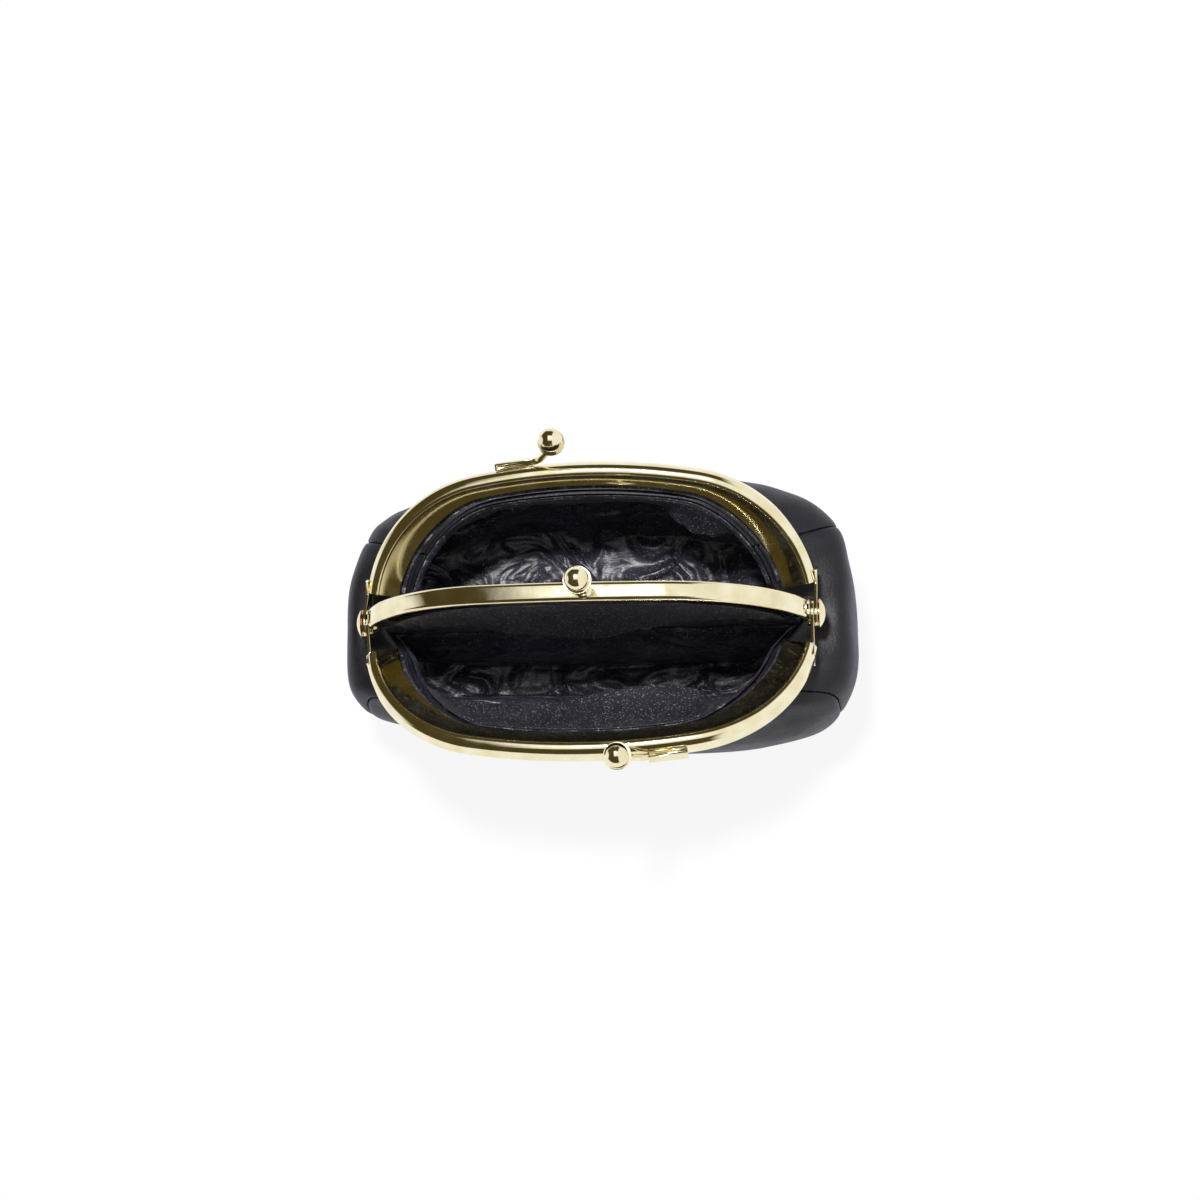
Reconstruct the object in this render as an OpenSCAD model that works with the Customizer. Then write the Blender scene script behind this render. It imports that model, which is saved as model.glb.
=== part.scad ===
// Kiss lock purse with three hinged frames and two compartments.
// Millimetres, Z up, X along the hinge line, Y from front to back.
// The origin lies on the resting face, straight below the middle of the hinge line.
// The outer frames are drawn fully open. Turned upright they close against the centre frame.

/* [Outer frames] */
// Width over the legs of an outer frame
frame_w = 118; // [108:1:128]
// Height of an outer frame's crown above the hinge line
frame_h = 39.8; // [36:0.2:46]
// Radius of the rounded shoulders of an outer frame
shoulder_r = 36.5; // [34:0.5:39]
// Radius of the shallow crown of an outer frame
crown_r = 164; // [130:2:200]
// Width of an outer frame's channel across its web
channel_w = 6.4; // [6:0.1:6.8]
// Depth of an outer frame's channel at its legs, from the web to the lip
channel_depth = 8.5; // [8:0.25:9]
// How much shallower an outer channel is at its crown
crown_rise = 3; // [0:0.25:3.5]
// Opening angle of the front frame from upright
front_open = 62.5; // [56:0.5:68]
// Opening angle of the back frame from upright
back_open = 66; // [60:0.5:70]

/* [Centre frame] */
// Height of the centre frame's crown above the hinge line
centre_h = 35; // [33:0.5:36]
// Radius of the centre frame's shoulders
centre_shoulder_r = 40; // [36:1:44]
// Radius of the centre frame's crown
centre_crown_r = 236; // [200:4:280]
// Width of the centre frame's channel across its web
centre_w = 5; // [4.6:0.1:5.2]
// Depth of the centre frame's channel
centre_depth = 6.5; // [5.5:0.25:7.5]
// Outer radius of the centre channel's corners
centre_bead_r = 1.2; // [1.1:0.1:2]

/* [Sheet metal] */
// Thickness of the frame metal
metal_t = 0.8; // [0.6:0.05:1]
// Outer radius of the rolled bead along a channel
bead_r = 2.3; // [2:0.1:2.5]
// Step from the bead down to the flange
bead_step = 0.3; // [0.2:0.05:0.4]
// Gap between neighbouring channels when the purse is closed
channel_gap = 0.2; // [0.15:0.05:0.4]

/* [Hinge] */
// Radius of the rivet shank
shank_r = 1.5; // [1.2:0.1:1.8]
// Radial clearance of a frame ear on the shank
ear_clearance = 0.05; // [0.03:0.01:0.08]
// Gap between neighbouring ears along the rivet
ear_gap = 0.1; // [0.08:0.02:0.2]
// Radius of the round end of an ear
ear_r = 3.6; // [3.2:0.1:3.9]
// Height above the hinge line at which a channel starts
leg_start = 7.5; // [7:0.25:9]
// Radius of the domed rivet head
head_r = 4; // [3.6:0.1:4.4]
// Height of the domed rivet head
head_h = 1.5; // [1.2:0.1:2]
// Radius of the copper washer under the head
washer_r = 3.7; // [3.3:0.1:4]
// Thickness of the washer
washer_t = 0.5; // [0.3:0.05:0.7]

/* [Kiss lock] */
// Radius of a lock ball
ball_r = 3; // [2.6:0.1:3]
// Radius of the cup under a ball
cup_r = 3.5; // [3.3:0.05:3.5]
// Height of a cup
cup_h = 2.2; // [1.6:0.1:2.4]
// Place of the front ball along the hinge line
front_ball_x = 10.3; // [10.3:0.1:12]
// Place of the centre ball along the hinge line
centre_ball_x = 3.2; // [2.6:0.1:3.2]
// Place of the back ball along the hinge line
back_ball_x = -6.7; // [-9:0.1:-5]
// Height of an outer ball above its frame's crown
ball_rise = 7.8; // [7:0.1:8.6]
// Reach of an outer ball past the middle of its channel
ball_reach = 11.8; // [11:0.1:12.6]
// Height of the centre ball above the centre frame's crown
centre_ball_rise = 14; // [12:0.25:16]
// Radius of a lock arm
arm_r = 1.1; // [0.9:0.05:1.3]
// Length of a lock's foot on the channel
foot_l = 10; // [9:0.2:11]
// Width of a lock's foot
foot_w = 2.6; // [2.4:0.1:3]
// Height of a lock's foot
foot_h = 1.8; // [1.6:0.1:2.2]
// Run of an arm from its foot to the ball, along the hinge line
arm_run = 6.3; // [6:0.1:7]

/* [Bag] */
// Height of the hinge line above the resting face
hinge_h = 60; // [54:1:70]
// How far the bag bulges past the outer frames at each side
side_bulge = 9.5; // [8:0.5:13]
// Depth of the front half of the bag at its fullest
front_body_y = 33; // [32:0.5:38]
// Depth of the back half of the bag at its fullest
back_body_y = 43; // [35:0.5:44]
// How far the base is drawn in from the bag's fullest width at each side
base_draw_x = 7.5; // [5:0.5:11]
// Depth of the base as a share of the bag's fullest depth
base_share = 0.68; // [0.64:0.01:0.76]
// Squareness of the bag seen from above, where 2 is an ellipse
plan_power = 3.4; // [2.8:0.1:4]
// Thickness of the leather
leather_t = 1.2; // [0.9:0.1:1.5]
// Thickness of the lining cloth
lining_t = 0.5; // [0.4:0.05:0.7]
// Gap between the leather and the lining
layer_gap = 0.4; // [0.3:0.05:0.6]
// Height of the lining pouches' floor above the resting face
pouch_floor = 20; // [14:1:22]
// How far the lining pouches hang inside the leather at their floor
pouch_draw = 12; // [6:0.5:12]
// Depth of the gusset's notch below the hinge line
notch_drop = 9; // [8.5:0.25:12]
// Angle round the bag from its side to a panel seam
seam_angle = 27; // [25:1:29]
// Thickness of the base board
board_t = 1.6; // [1.2:0.1:2.4]
// Thickness of the divider between the compartments
divider_t = 1.6; // [1.2:0.1:2]

/* [Edge fillers] */
// Radius of the paper cord in an outer channel
cord_r = 1.4; // [1.2:0.05:1.5]
// Radius of the paper cord in the centre channel
centre_cord_r = 1; // [0.8:0.05:1.05]
// Distance that the leather and lining edges stand out of a channel
hem_out = 1.2; // [0.8:0.1:1.6]

/* [Hidden] */
$fn = 96;

// Colours
pale_gold = "#d8cf9a";
copper = "#c98a5a";
black_leather = "#1d1c22";
dark_lining = "#2a2834";
kraft = "#9c8158";

// Small distance by which a cutter runs past what it cuts
past = 1;
// Small distance by which joined shapes run into each other
bite = 0.2;
// Air between a soft piece and its neighbour on the same body
seat_gap = 0.1;
// Air between soft pieces on different bodies
soft_gap = 0.3;

// An arch is [half width, height, shoulder radius, crown radius]
outer_arch = [frame_w / 2, frame_h, shoulder_r, crown_r];
centre_arch = [frame_w / 2 - 0.2, centre_h, centre_shoulder_r, centre_crown_r];
function arch_cx(a) = a[0] - a[2];
function crown_cz(a) = a[1] - a[3];
function arch_cz(a) = crown_cz(a) + sqrt(pow(a[3] - a[2], 2) - pow(arch_cx(a), 2));
function join_angle(a) = atan2(arch_cz(a) - crown_cz(a), arch_cx(a));
function start_angle(a, z) = asin((z - arch_cz(a)) / a[2]);
// Half width of an arch drawn in by inset, at height u
function arch_x(a, inset, u) = arch_cx(a) + sqrt(pow(a[2] - inset, 2) - pow(u - arch_cz(a), 2));
// Height of an arch drawn in by inset, at x from the middle
function arch_u(a, inset, x) =
    abs(x) > arch_cx(a) + (a[2] - inset) * cos(join_angle(a))
        ? arch_cz(a) + sqrt(pow(a[2] - inset, 2) - pow(abs(x) - arch_cx(a), 2))
        : crown_cz(a) + sqrt(pow(a[3] - inset, 2) - x * x);

// Distance from the hinge plane to the middle of an outer channel
frame_off = centre_w / 2 + channel_gap + channel_w / 2;

// Ear planes along X, from the centre frame's ear outwards
front_ear_x = outer_arch[0] - 1.9;
centre_ear_x = front_ear_x - ear_gap - metal_t;
back_ear_x = front_ear_x + metal_t + ear_gap;
washer_x = back_ear_x + metal_t + ear_gap / 2;
head_x = washer_x + washer_t;
tail_t = 0.8;
// Height above a channel's start at which the ear ends on the web
ear_lap = 3;
// Width of the joggle between a web and its ear
joggle_w = 2.4;

// Stations along an arch, each a point on its outer line and the direction straight outwards there
shoulder_steps = 11;
crown_steps = 8;
function stations(a, z_start) =
    let (first = start_angle(a, z_start), last = join_angle(a), turn = (last - first) / shoulder_steps)
    concat(
        [for (i = [0 : shoulder_steps]) let (t = first + i * turn)
            [arch_cx(a) + a[2] * cos(t), arch_cz(a) + a[2] * sin(t), cos(t), sin(t)]],
        [for (i = [1 : crown_steps]) let (t = last + (180 - 2 * last) * i / crown_steps)
            [a[3] * cos(t), crown_cz(a) + a[3] * sin(t), cos(t), sin(t)]],
        [for (i = [1 : shoulder_steps]) let (t = 180 - last + i * turn)
            [-arch_cx(a) + a[2] * cos(t), arch_cz(a) + a[2] * sin(t), cos(t), sin(t)]]
    );

// Share of the crown in a place where the arch's outward direction has this upward part
function crown_share(up) = pow(max(0, up), 6);

// Sweeps a profile along an arch lying in the XY plane, from leg to leg.
// A profile point is [distance outwards from the arch, height over the XY plane, and how much further out it is
// at the crown].
// The ends are closed with the triangles in cap, which name points of the profile.
module along_arch(a, z_start, profile, cap) {
    line = stations(a, z_start);
    n = len(profile);
    m = len(line);
    points = [for (s = line) for (p = profile) let (out = p[0] + (len(p) > 2 ? p[2] * crown_share(s[3]) : 0))
        [s[0] + out * s[2], s[1] + out * s[3], p[1]]];
    polyhedron(points, [
        for (j = [0 : m - 2]) for (i = [0 : n - 1]) let (k = (i + 1) % n) each [
            [j * n + i, j * n + k, (j + 1) * n + k],
            [j * n + i, (j + 1) * n + k, (j + 1) * n + i]
        ],
        for (t = cap) [t[2], t[1], t[0]],
        for (t = cap) [for (i = t) (m - 1) * n + i]
    ]);
}
function fan_cap(n) = [for (i = [1 : n - 2]) [0, i, i + 1]];

// Points of a quarter turn of radius r about [x, y], from angle t
corner_steps = 4;
function corner(x, y, r, t) =
    [for (i = [0 : corner_steps]) [x + r * cos(t + 90 * i / corner_steps), y + r * sin(t + 90 * i / corner_steps)]];

// Section of a channel: a bead rolled to radius r over two flanges that stand back from it.
// The outer line has 16 points and the inner line 6, which close the section on the way back.
// The lips stand further out by rise at the crown.
least_fillet = 0.1;
function channel_profile(w, depth, r, rise) =
    let (flange = w / 2 - bead_step, inside = flange - metal_t, bead_l = 1.4 * r,
         fillet = max(least_fillet, r - bead_step - metal_t))
    concat(
        [[-depth, -flange, rise], [-bead_l, -flange], [-bead_l, -w / 2]],
        corner(-r, -(w / 2 - r), r, -90),
        corner(-r, w / 2 - r, r, 0),
        [[-bead_l, w / 2], [-bead_l, flange], [-depth, flange, rise], [-depth, inside, rise]],
        [[-metal_t - fillet, inside], [-metal_t, inside - fillet]],
        [[-metal_t, -(inside - fillet)], [-metal_t - fillet, -inside], [-depth, -inside, rise]]
    );
// Inner point that each outer point is joined to across the metal
function across(i) = 21 - (i == 0 ? 0 : i <= 4 ? 1 : i <= 7 ? 2 : i <= 10 ? 3 : i <= 14 ? 4 : 5);
channel_cap = [for (i = [0 : 14]) each across(i) == across(i + 1)
    ? [[i, i + 1, across(i)]]
    : [[i, i + 1, across(i + 1)], [i, across(i + 1), across(i)]]];

// Round section of radius r and rectangular section, both drawn in from the arch
function round_profile(inset, r) = [for (t = [22.5 : 45 : 360]) [-inset + r * cos(t), r * sin(t)]];
function flat_profile(top, bottom, v, t) =
    [[-bottom, v, crown_rise], [-top, v], [-top, v + t], [-bottom, v + t, crown_rise]];

// Flat ear in the plane across the hinge line: u upwards, v outwards from the hinge plane
module ear_shape(off, w) {
    circle(r = ear_r);
    polygon([
        [-ear_r * sin(20), ear_r * cos(20)],
        [leg_start - 0.5, off + w / 2 - 0.6],
        [leg_start + ear_lap, off + w / 2 - 0.6],
        [leg_start + ear_lap, off - w / 2 + 0.6],
        [leg_start - 0.5, off - w / 2 + 0.6],
        [ear_r * cos(35), -ear_r * sin(35)],
        [0, 0]
    ]);
}

// Stands an arch drawn in the XY plane, with Z outwards, at the front of the hinge and leans it
module lean_front() {
    translate([0, 0, hinge_h]) rotate([90 + front_open, 0, 0]) children();
}
module lean_back() {
    translate([0, 0, hinge_h]) mirror([0, 1, 0]) rotate([90 + back_open, 0, 0]) children();
}

// Outer frame lying in the XY plane with its hinge line on the X axis
module outer_frame(ear_x) {
    difference() {
        union() {
            translate([0, 0, frame_off])
                along_arch(outer_arch, leg_start, channel_profile(channel_w, channel_depth, bead_r, crown_rise),
                    channel_cap);
            for (side = [0, 1]) mirror([side, 0, 0]) {
                multmatrix([[0, 0, 1, ear_x], [1, 0, 0, 0], [0, 1, 0, 0], [0, 0, 0, 1]])
                    linear_extrude(metal_t) ear_shape(frame_off, channel_w);
                // Joggle that carries the ear from the channel's web
                translate([front_ear_x + metal_t / 2, leg_start - 0.3, frame_off - joggle_w / 2])
                    cube([ear_x + metal_t / 2 - front_ear_x, 2.4, joggle_w]);
            }
        }
        for (side = [0, 1]) mirror([side, 0, 0])
            translate([ear_x - past, 0, 0]) rotate([0, 90, 0])
                cylinder(r = shank_r + ear_clearance, h = metal_t + 2 * past);
    }
}

module centre_frame() {
    color(pale_gold) translate([0, 0, hinge_h]) difference() {
        union() {
            rotate([90, 0, 0])
                along_arch(centre_arch, leg_start, channel_profile(centre_w, centre_depth, centre_bead_r, 0),
                    channel_cap);
            for (side = [0, 1]) mirror([side, 0, 0]) {
                multmatrix([[0, 0, 1, centre_ear_x], [1, 0, 0, 0], [0, 1, 0, 0], [0, 0, 0, 1]])
                    linear_extrude(metal_t) {
                        circle(r = ear_r);
                        translate([-centre_w / 2 + 0.5, 0]) square([centre_w - 1, leg_start + 1.2]);
                    }
                // Joggle that carries the ear from the channel's web
                translate([centre_ear_x - 1, -0.8, leg_start]) cube([1 + metal_t, 1.6, 1.2]);
            }
        }
        for (side = [0, 1]) mirror([side, 0, 0])
            translate([centre_ear_x - past, 0, 0]) rotate([0, 90, 0])
                cylinder(r = shank_r + ear_clearance, h = metal_t + 2 * past);
    }
}

module front_frame() { color(pale_gold) lean_front() outer_frame(front_ear_x); }
module back_frame() { color(pale_gold) lean_back() outer_frame(back_ear_x); }

// Rivet on the right side: domed head outside, shank through the ears, flared tail inside
module hinge_rivet() {
    dome_r = (head_r * head_r + head_h * head_h) / (2 * head_h);
    flare_r = shank_r + 0.9;
    color(pale_gold) translate([0, 0, hinge_h]) rotate([0, 90, 0]) {
        translate([0, 0, centre_ear_x - ear_gap / 2])
            cylinder(r = shank_r, h = head_x + bite - centre_ear_x + ear_gap / 2);
        translate([0, 0, centre_ear_x - ear_gap / 2 - tail_t])
            cylinder(r1 = flare_r - 0.4, r2 = flare_r, h = tail_t);
        translate([0, 0, head_x]) rotate_extrude() intersection() {
            translate([0, head_h - dome_r]) circle(r = dome_r);
            square([head_r, head_h]);
        }
    }
}
module left_hinge_rivet() { mirror([1, 0, 0]) hinge_rivet(); }
module right_hinge_rivet() { hinge_rivet(); }

module hinge_washer() {
    color(copper) translate([washer_x, 0, hinge_h]) rotate([0, 90, 0]) difference() {
        cylinder(r = washer_r, h = washer_t - seat_gap / 2);
        translate([0, 0, -past]) cylinder(r = shank_r + ear_clearance, h = washer_t + 2 * past);
    }
}
module left_hinge_washer() { mirror([1, 0, 0]) hinge_washer(); }
module right_hinge_washer() { hinge_washer(); }

// Ball, cup and arm of an outer lock, in the frame's lying plane: X along the crown, Y up, Z outwards
ball_y = frame_h + ball_rise;
ball_z = frame_off - ball_reach;
// The arm leaves its foot on the web and points at the ball
elbow_y = frame_h + foot_h / 2;
arm_tilt = atan2(ball_reach, ball_y - elbow_y);
// Distance from the ball's centre to the cup's foot
cup_back = ball_r + 0.7;

// Places children with Z along the arm's last stretch, pointing into the ball
module at_ball(x) {
    translate([x, ball_y, ball_z]) rotate([-90 - arm_tilt, 0, 0]) children();
}

module lock_ball(x) {
    color(pale_gold) at_ball(x) difference() {
        sphere(r = ball_r);
        translate([0, 0, -ball_r - past]) cylinder(r = ball_r, h = past + 0.35);
    }
}

// Dished cup that the ball sits in
module cup_shape() {
    rotate_extrude() difference() {
        polygon([[0, -cup_back], [arm_r + 0.5, -cup_back], [cup_r, -cup_back + cup_h - 0.5],
            [cup_r, -cup_back + cup_h], [0, -cup_back + cup_h]]);
        circle(r = ball_r + seat_gap / 2);
    }
}

// Round bar of radius r along a bent line, with square ends
bar_sides = 16;
module bent_bar(line, r) {
    last = len(line) - 1;
    function unit(v) = v / norm(v);
    function stretch(i) = unit(line[i + 1] - line[i]);
    function along(i) = i == 0 ? stretch(0) : i == last ? stretch(last - 1) : unit(stretch(i - 1) + stretch(i));
    function at(j, i) = j * bar_sides + i % bar_sides;
    points = [for (j = [0 : last]) let (across = unit(cross(along(j), [0, 1, 0])), up = cross(across, along(j)))
        for (i = [0 : bar_sides - 1]) let (t = 360 * (i + 0.5) / bar_sides)
            line[j] + r * (cos(t) * across + sin(t) * up)];
    polyhedron(points, [
        for (j = [0 : last - 1]) for (i = [0 : bar_sides - 1]) each [
            [at(j, i), at(j, i + 1), at(j + 1, i + 1)],
            [at(j, i), at(j + 1, i + 1), at(j + 1, i)]
        ],
        for (t = fan_cap(bar_sides)) [t[2], t[1], t[0]],
        for (t = fan_cap(bar_sides)) [for (i = t) at(last, i)]
    ]);
}

// Foot clamped on the web and the arm that rises from its inner end
module lock_arm(x, way) {
    foot_x = x + way * arm_run;
    // Point on the ball's axis at distance d behind the ball's centre
    function behind(d) = [x, ball_y - cos(arm_tilt) * d, ball_z + sin(arm_tilt) * d];
    tip = behind(cup_back + seat_gap / 2);
    neck = behind(cup_back + arm_r + seat_gap);
    web_y = arch_u(outer_arch, 0, foot_x + way * foot_l / 2);
    heel = [foot_x + way * 1.5, elbow_y, frame_off];
    // The arm runs on along the web, then turns towards the ball
    bend = [foot_x - way * 1.7, elbow_y + 0.3, frame_off - 1.2];
    shin = behind(cup_back + 2.6) + [way * 1.2, 0, 0];
    lean = way * -asin((foot_x + way * foot_l / 2) * way / crown_r);
    color(pale_gold) {
        translate([foot_x + way * foot_l / 2, web_y + foot_h / 2 + seat_gap, frame_off])
            rotate([0, 0, lean]) difference() {
                cube([foot_l, foot_h, foot_w], center = true);
                // Folded clip edge: a shallow channel along the foot's top
                translate([way * 0.8, foot_h / 2, 0])
                    cube([foot_l - 1.4, 0.8, foot_w - 1], center = true);
            }
        bent_bar([heel, bend, shin, neck, tip], arm_r);
    }
}

module front_lock_arm() { lean_front() lock_arm(front_ball_x, 1); }
module front_lock_cup() { color(pale_gold) lean_front() at_ball(front_ball_x) cup_shape(); }
module front_lock_ball() { lean_front() lock_ball(front_ball_x); }
module back_lock_arm() { lean_back() lock_arm(back_ball_x, -1); }
module back_lock_cup() { color(pale_gold) lean_back() at_ball(back_ball_x) cup_shape(); }
module back_lock_ball() { lean_back() lock_ball(back_ball_x); }

centre_ball_z = hinge_h + centre_h + centre_ball_rise;
centre_top_z = hinge_h + arch_u(centre_arch, 0, centre_ball_x);
module centre_lock_post() {
    stem_top = centre_ball_z - cup_back - seat_gap / 2;
    color(pale_gold) translate([centre_ball_x, 0, centre_top_z + seat_gap]) rotate_extrude() {
        square([arm_r, stem_top - centre_top_z - seat_gap]);
        polygon([[0, 0], [arm_r + 0.9, 0], [arm_r + 0.9, 0.5], [arm_r, 1.6], [0, 1.6]]);
    }
}
module centre_lock_cup() { color(pale_gold) translate([centre_ball_x, 0, centre_ball_z]) cup_shape(); }
module centre_lock_ball() {
    color(pale_gold) translate([centre_ball_x, 0, centre_ball_z]) difference() {
        sphere(r = ball_r);
        translate([0, 0, -ball_r - past]) cylinder(r = ball_r, h = past + 0.35);
    }
}

// Room inside a channel: the cord lies against the web, the leather and lining edges below it
inside_w = channel_w - 2 * bead_step - 2 * metal_t;
// Distance from the arch to the middle of a cord of radius r that rests in a channel w wide,
// with corners of radius c
function cord_inset(w, r, c) =
    max(metal_t + seat_gap + r, metal_t + sqrt(2) * (r + seat_gap) - (w / 2 - c));
cord_in = cord_inset(channel_w, cord_r, bead_r);
hem_top = cord_in + cord_r + seat_gap;
hem_bottom = channel_depth + hem_out;
leather_hem_t = min(leather_t, inside_w / 2 - seat_gap);
module outer_cord() {
    color(kraft) translate([0, 0, frame_off])
        along_arch(outer_arch, leg_start + ear_lap + 2 * seat_gap, round_profile(cord_in, cord_r), fan_cap(8));
}
module front_paper_cord() { lean_front() outer_cord(); }
module back_paper_cord() { lean_back() outer_cord(); }
// Hem strip at distance v from the channel's middle plane, t thick
module hem(v, t) {
    translate([0, 0, frame_off])
        along_arch(outer_arch, leg_start + 1, flat_profile(hem_top, hem_bottom, v, t), fan_cap(4));
}
module front_leather_hem() { color(black_leather) lean_front() hem(seat_gap / 2, leather_hem_t); }
module back_leather_hem() { color(black_leather) lean_back() hem(seat_gap / 2, leather_hem_t); }
module front_lining_hem() { color(dark_lining) lean_front() hem(-seat_gap / 2 - 2 * lining_t, 2 * lining_t); }
module back_lining_hem() { color(dark_lining) lean_back() hem(-seat_gap / 2 - 2 * lining_t, 2 * lining_t); }

centre_cord_in = cord_inset(centre_w, centre_cord_r, centre_bead_r);
module centre_paper_cord() {
    color(kraft) translate([0, 0, hinge_h]) rotate([90, 0, 0])
        along_arch(centre_arch, leg_start + ear_lap, round_profile(centre_cord_in, centre_cord_r), fan_cap(8));
}

// Surface of the bag. An angle of 0 is the right side, 90 the back and 270 the front.
// Rows run from the mouth's rim (0) down to the edge of the base (6). Depth d is measured inwards.
rim_inset = hem_bottom + soft_gap + 0.2;
leg_rim_u = leg_start - 0.5;
function open_of(a) = sin(a) >= 0 ? back_open : front_open;
// Point of an outer frame's plane in the standing object
function leaned(a, x, u, v) =
    let (o = open_of(a), way = sin(a) >= 0 ? 1 : -1)
    [x, way * (u * sin(o) + v * cos(o)), hinge_h + u * cos(o) - v * sin(o)];
function sgn(v) = v < 0 ? -1 : 1;
function power(v, p) = sgn(v) * pow(abs(v), p);
// Half the width of the bag and of its base at the fullest
body_x = frame_w / 2 + side_bulge;
base_x = body_x - base_draw_x;
// Depth of the half of the bag that angle a lies in, and of its base
function body_y(a) = sin(a) >= 0 ? back_body_y : front_body_y;
function base_y(a) = base_share * body_y(a);
// Level of the bag: half width, half depth, height above the resting face
function level(a, x, y, z) =
    [x * power(cos(a), 2 / plan_power), y * power(sin(a), 2 / plan_power), z];
notch_angle = 18;
function fold(a) = asin(abs(sin(a)));
// Share of the way from the notch to the leg of the frame
function leg_share(a) = min(1, fold(a) / notch_angle);
seam_u = 17;
seam_rim_x = arch_x(outer_arch, rim_inset, seam_u);
// Rise of the bag's rim with the frame's lip, at x from the middle, from nothing at the seams
function rim_up(x) =
    let (cx = arch_cx(outer_arch), r = outer_arch[2] - rim_inset)
    abs(x) > cx ? sqrt(1 - pow((abs(x) - cx) / r, 2)) : 1;
seam_share = crown_share(rim_up(seam_rim_x));
function rim_rise(x) = crown_rise * max(0, crown_share(rim_up(x)) - seam_share) / (1 - seam_share);
function rim_u_x(a) =
    let (f = fold(a), s = (f - notch_angle) / (seam_angle - notch_angle))
    f < seam_angle
        ? let (u = leg_rim_u + max(0, s) * (seam_u - leg_rim_u)) [u, arch_x(outer_arch, rim_inset, u)]
        : let (x = seam_rim_x * power(cos(f), 2 / plan_power) / power(cos(seam_angle), 2 / plan_power))
          [arch_u(outer_arch, rim_inset, x) + rim_rise(x), x];
function mix(p, q, t) = p + (q - p) * t;
notch_x = centre_ear_x - 1;
rim_v = frame_off + leather_hem_t;
function rim_row(a) =
    let (w = rim_u_x(a), p = leaned(a, sgn(cos(a)) * w[1], w[0], rim_v))
    mix([sgn(cos(a)) * notch_x, 0, hinge_h - notch_drop], p, leg_share(a));
function lip_row(a) =
    let (w = rim_u_x(a), p = leaned(a, sgn(cos(a)) * (w[1] + 0.8), w[0] - 0.8, rim_v + 3.4))
    mix([sgn(cos(a)) * (notch_x + 2.6), 0, hinge_h - notch_drop - 1.6], p, leg_share(a));
function rows(a) = [
    rim_row(a),
    lip_row(a),
    level(a, body_x - 3.4, body_y(a) - 3, hinge_h * 0.8),
    level(a, body_x, body_y(a), hinge_h * 0.58),
    level(a, body_x - 1.5, body_y(a) - 1.5, hinge_h * 0.3),
    level(a, mix(base_x, body_x, 0.45), mix(base_y(a), body_y(a), 0.4), hinge_h * 0.08),
    level(a, base_x, base_y(a), leather_t + seat_gap)
];
// Smooth curve through the rows, at row t
function smooth(p, t) =
    let (n = len(p) - 1, i = min(n - 1, floor(t)), f = t - i,
         a = p[max(0, i - 1)], b = p[i], c = p[i + 1], e = p[min(n, i + 2)])
    0.5 * (2 * b + (c - a) * f + (2 * a - 5 * b + 4 * c - e) * f * f
        + (3 * b - a - 3 * c + e) * f * f * f);
last_row = 6;
row_step = 0.5;
// Point of the skin at angle a and row t, at depth d under its outer face
function skin(a, t, d) =
    let (p = rows(a), here = smooth(p, t),
         round = smooth(rows(a + 0.5), t) - smooth(rows(a - 0.5), t),
         down = smooth(p, min(last_row, t + 0.05)) - smooth(p, max(0, t - 0.05)),
         inwards = cross(round, down))
    here + d * inwards / norm(inwards);

// The facing ends at facing_rows. Below it the lining hangs free, drawn in all the way at hang_row.
facing_rows = 1.5;
hang_row = 3.5;
function hang(t) =
    let (s = min(1, max(0, (t - facing_rows) / (hang_row - facing_rows)))) pouch_draw * s * s * (3 - 2 * s);

// Patch of the bag's skin between two angles, two rows and two depths, as a closed solid.
// A patch that hangs is drawn in with the lining.
module patch(a0, a1, columns, t0, t1, d0, d1, hangs = false) {
    m = round((t1 - t0) / row_step);
    n = columns + 1;
    grid = [for (d = [d0, d1]) for (j = [0 : m]) for (i = [0 : columns]) let (t = t0 + (t1 - t0) * j / m)
        skin(a0 + (a1 - a0) * i / columns, t, d + (hangs ? hang(t) : 0))];
    // Number of a grid point on side k, row j, column i
    function at(k, j, i) = (k * (m + 1) + j) * n + i;
    faces = [
        for (j = [0 : m - 1]) for (i = [0 : columns - 1]) each [
            [at(0, j, i), at(0, j, i + 1), at(0, j + 1, i + 1)],
            [at(0, j, i), at(0, j + 1, i + 1), at(0, j + 1, i)],
            [at(1, j, i), at(1, j + 1, i + 1), at(1, j, i + 1)],
            [at(1, j, i), at(1, j + 1, i), at(1, j + 1, i + 1)]
        ],
        for (j = [0 : m - 1]) each [
            [at(0, j, 0), at(0, j + 1, 0), at(1, j + 1, 0)],
            [at(0, j, 0), at(1, j + 1, 0), at(1, j, 0)],
            [at(0, j, columns), at(1, j + 1, columns), at(0, j + 1, columns)],
            [at(0, j, columns), at(1, j, columns), at(1, j + 1, columns)]
        ],
        for (i = [0 : columns - 1]) each [
            [at(0, 0, i), at(1, 0, i + 1), at(0, 0, i + 1)],
            [at(0, 0, i), at(1, 0, i), at(1, 0, i + 1)],
            [at(0, m, i), at(0, m, i + 1), at(1, m, i + 1)],
            [at(0, m, i), at(1, m, i + 1), at(1, m, i)]
        ]
    ];
    polyhedron(grid, faces);
}

panel_columns = 20;
gusset_columns = 12;
// Angle left free on each side of a seam
seam_slit = 0.15;
module back_panel() {
    color(black_leather)
        patch(seam_angle + seam_slit, 180 - seam_angle - seam_slit, panel_columns, 0, last_row, 0, leather_t);
}
module front_panel() {
    color(black_leather)
        patch(180 + seam_angle + seam_slit, 360 - seam_angle - seam_slit, panel_columns,
            0, last_row, 0, leather_t);
}
module right_gusset() {
    color(black_leather) patch(-seam_angle, seam_angle, gusset_columns, 0, last_row, 0, leather_t);
}
module left_gusset() {
    color(black_leather)
        patch(180 - seam_angle, 180 + seam_angle, gusset_columns, 0, last_row, 0, leather_t);
}

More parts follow.
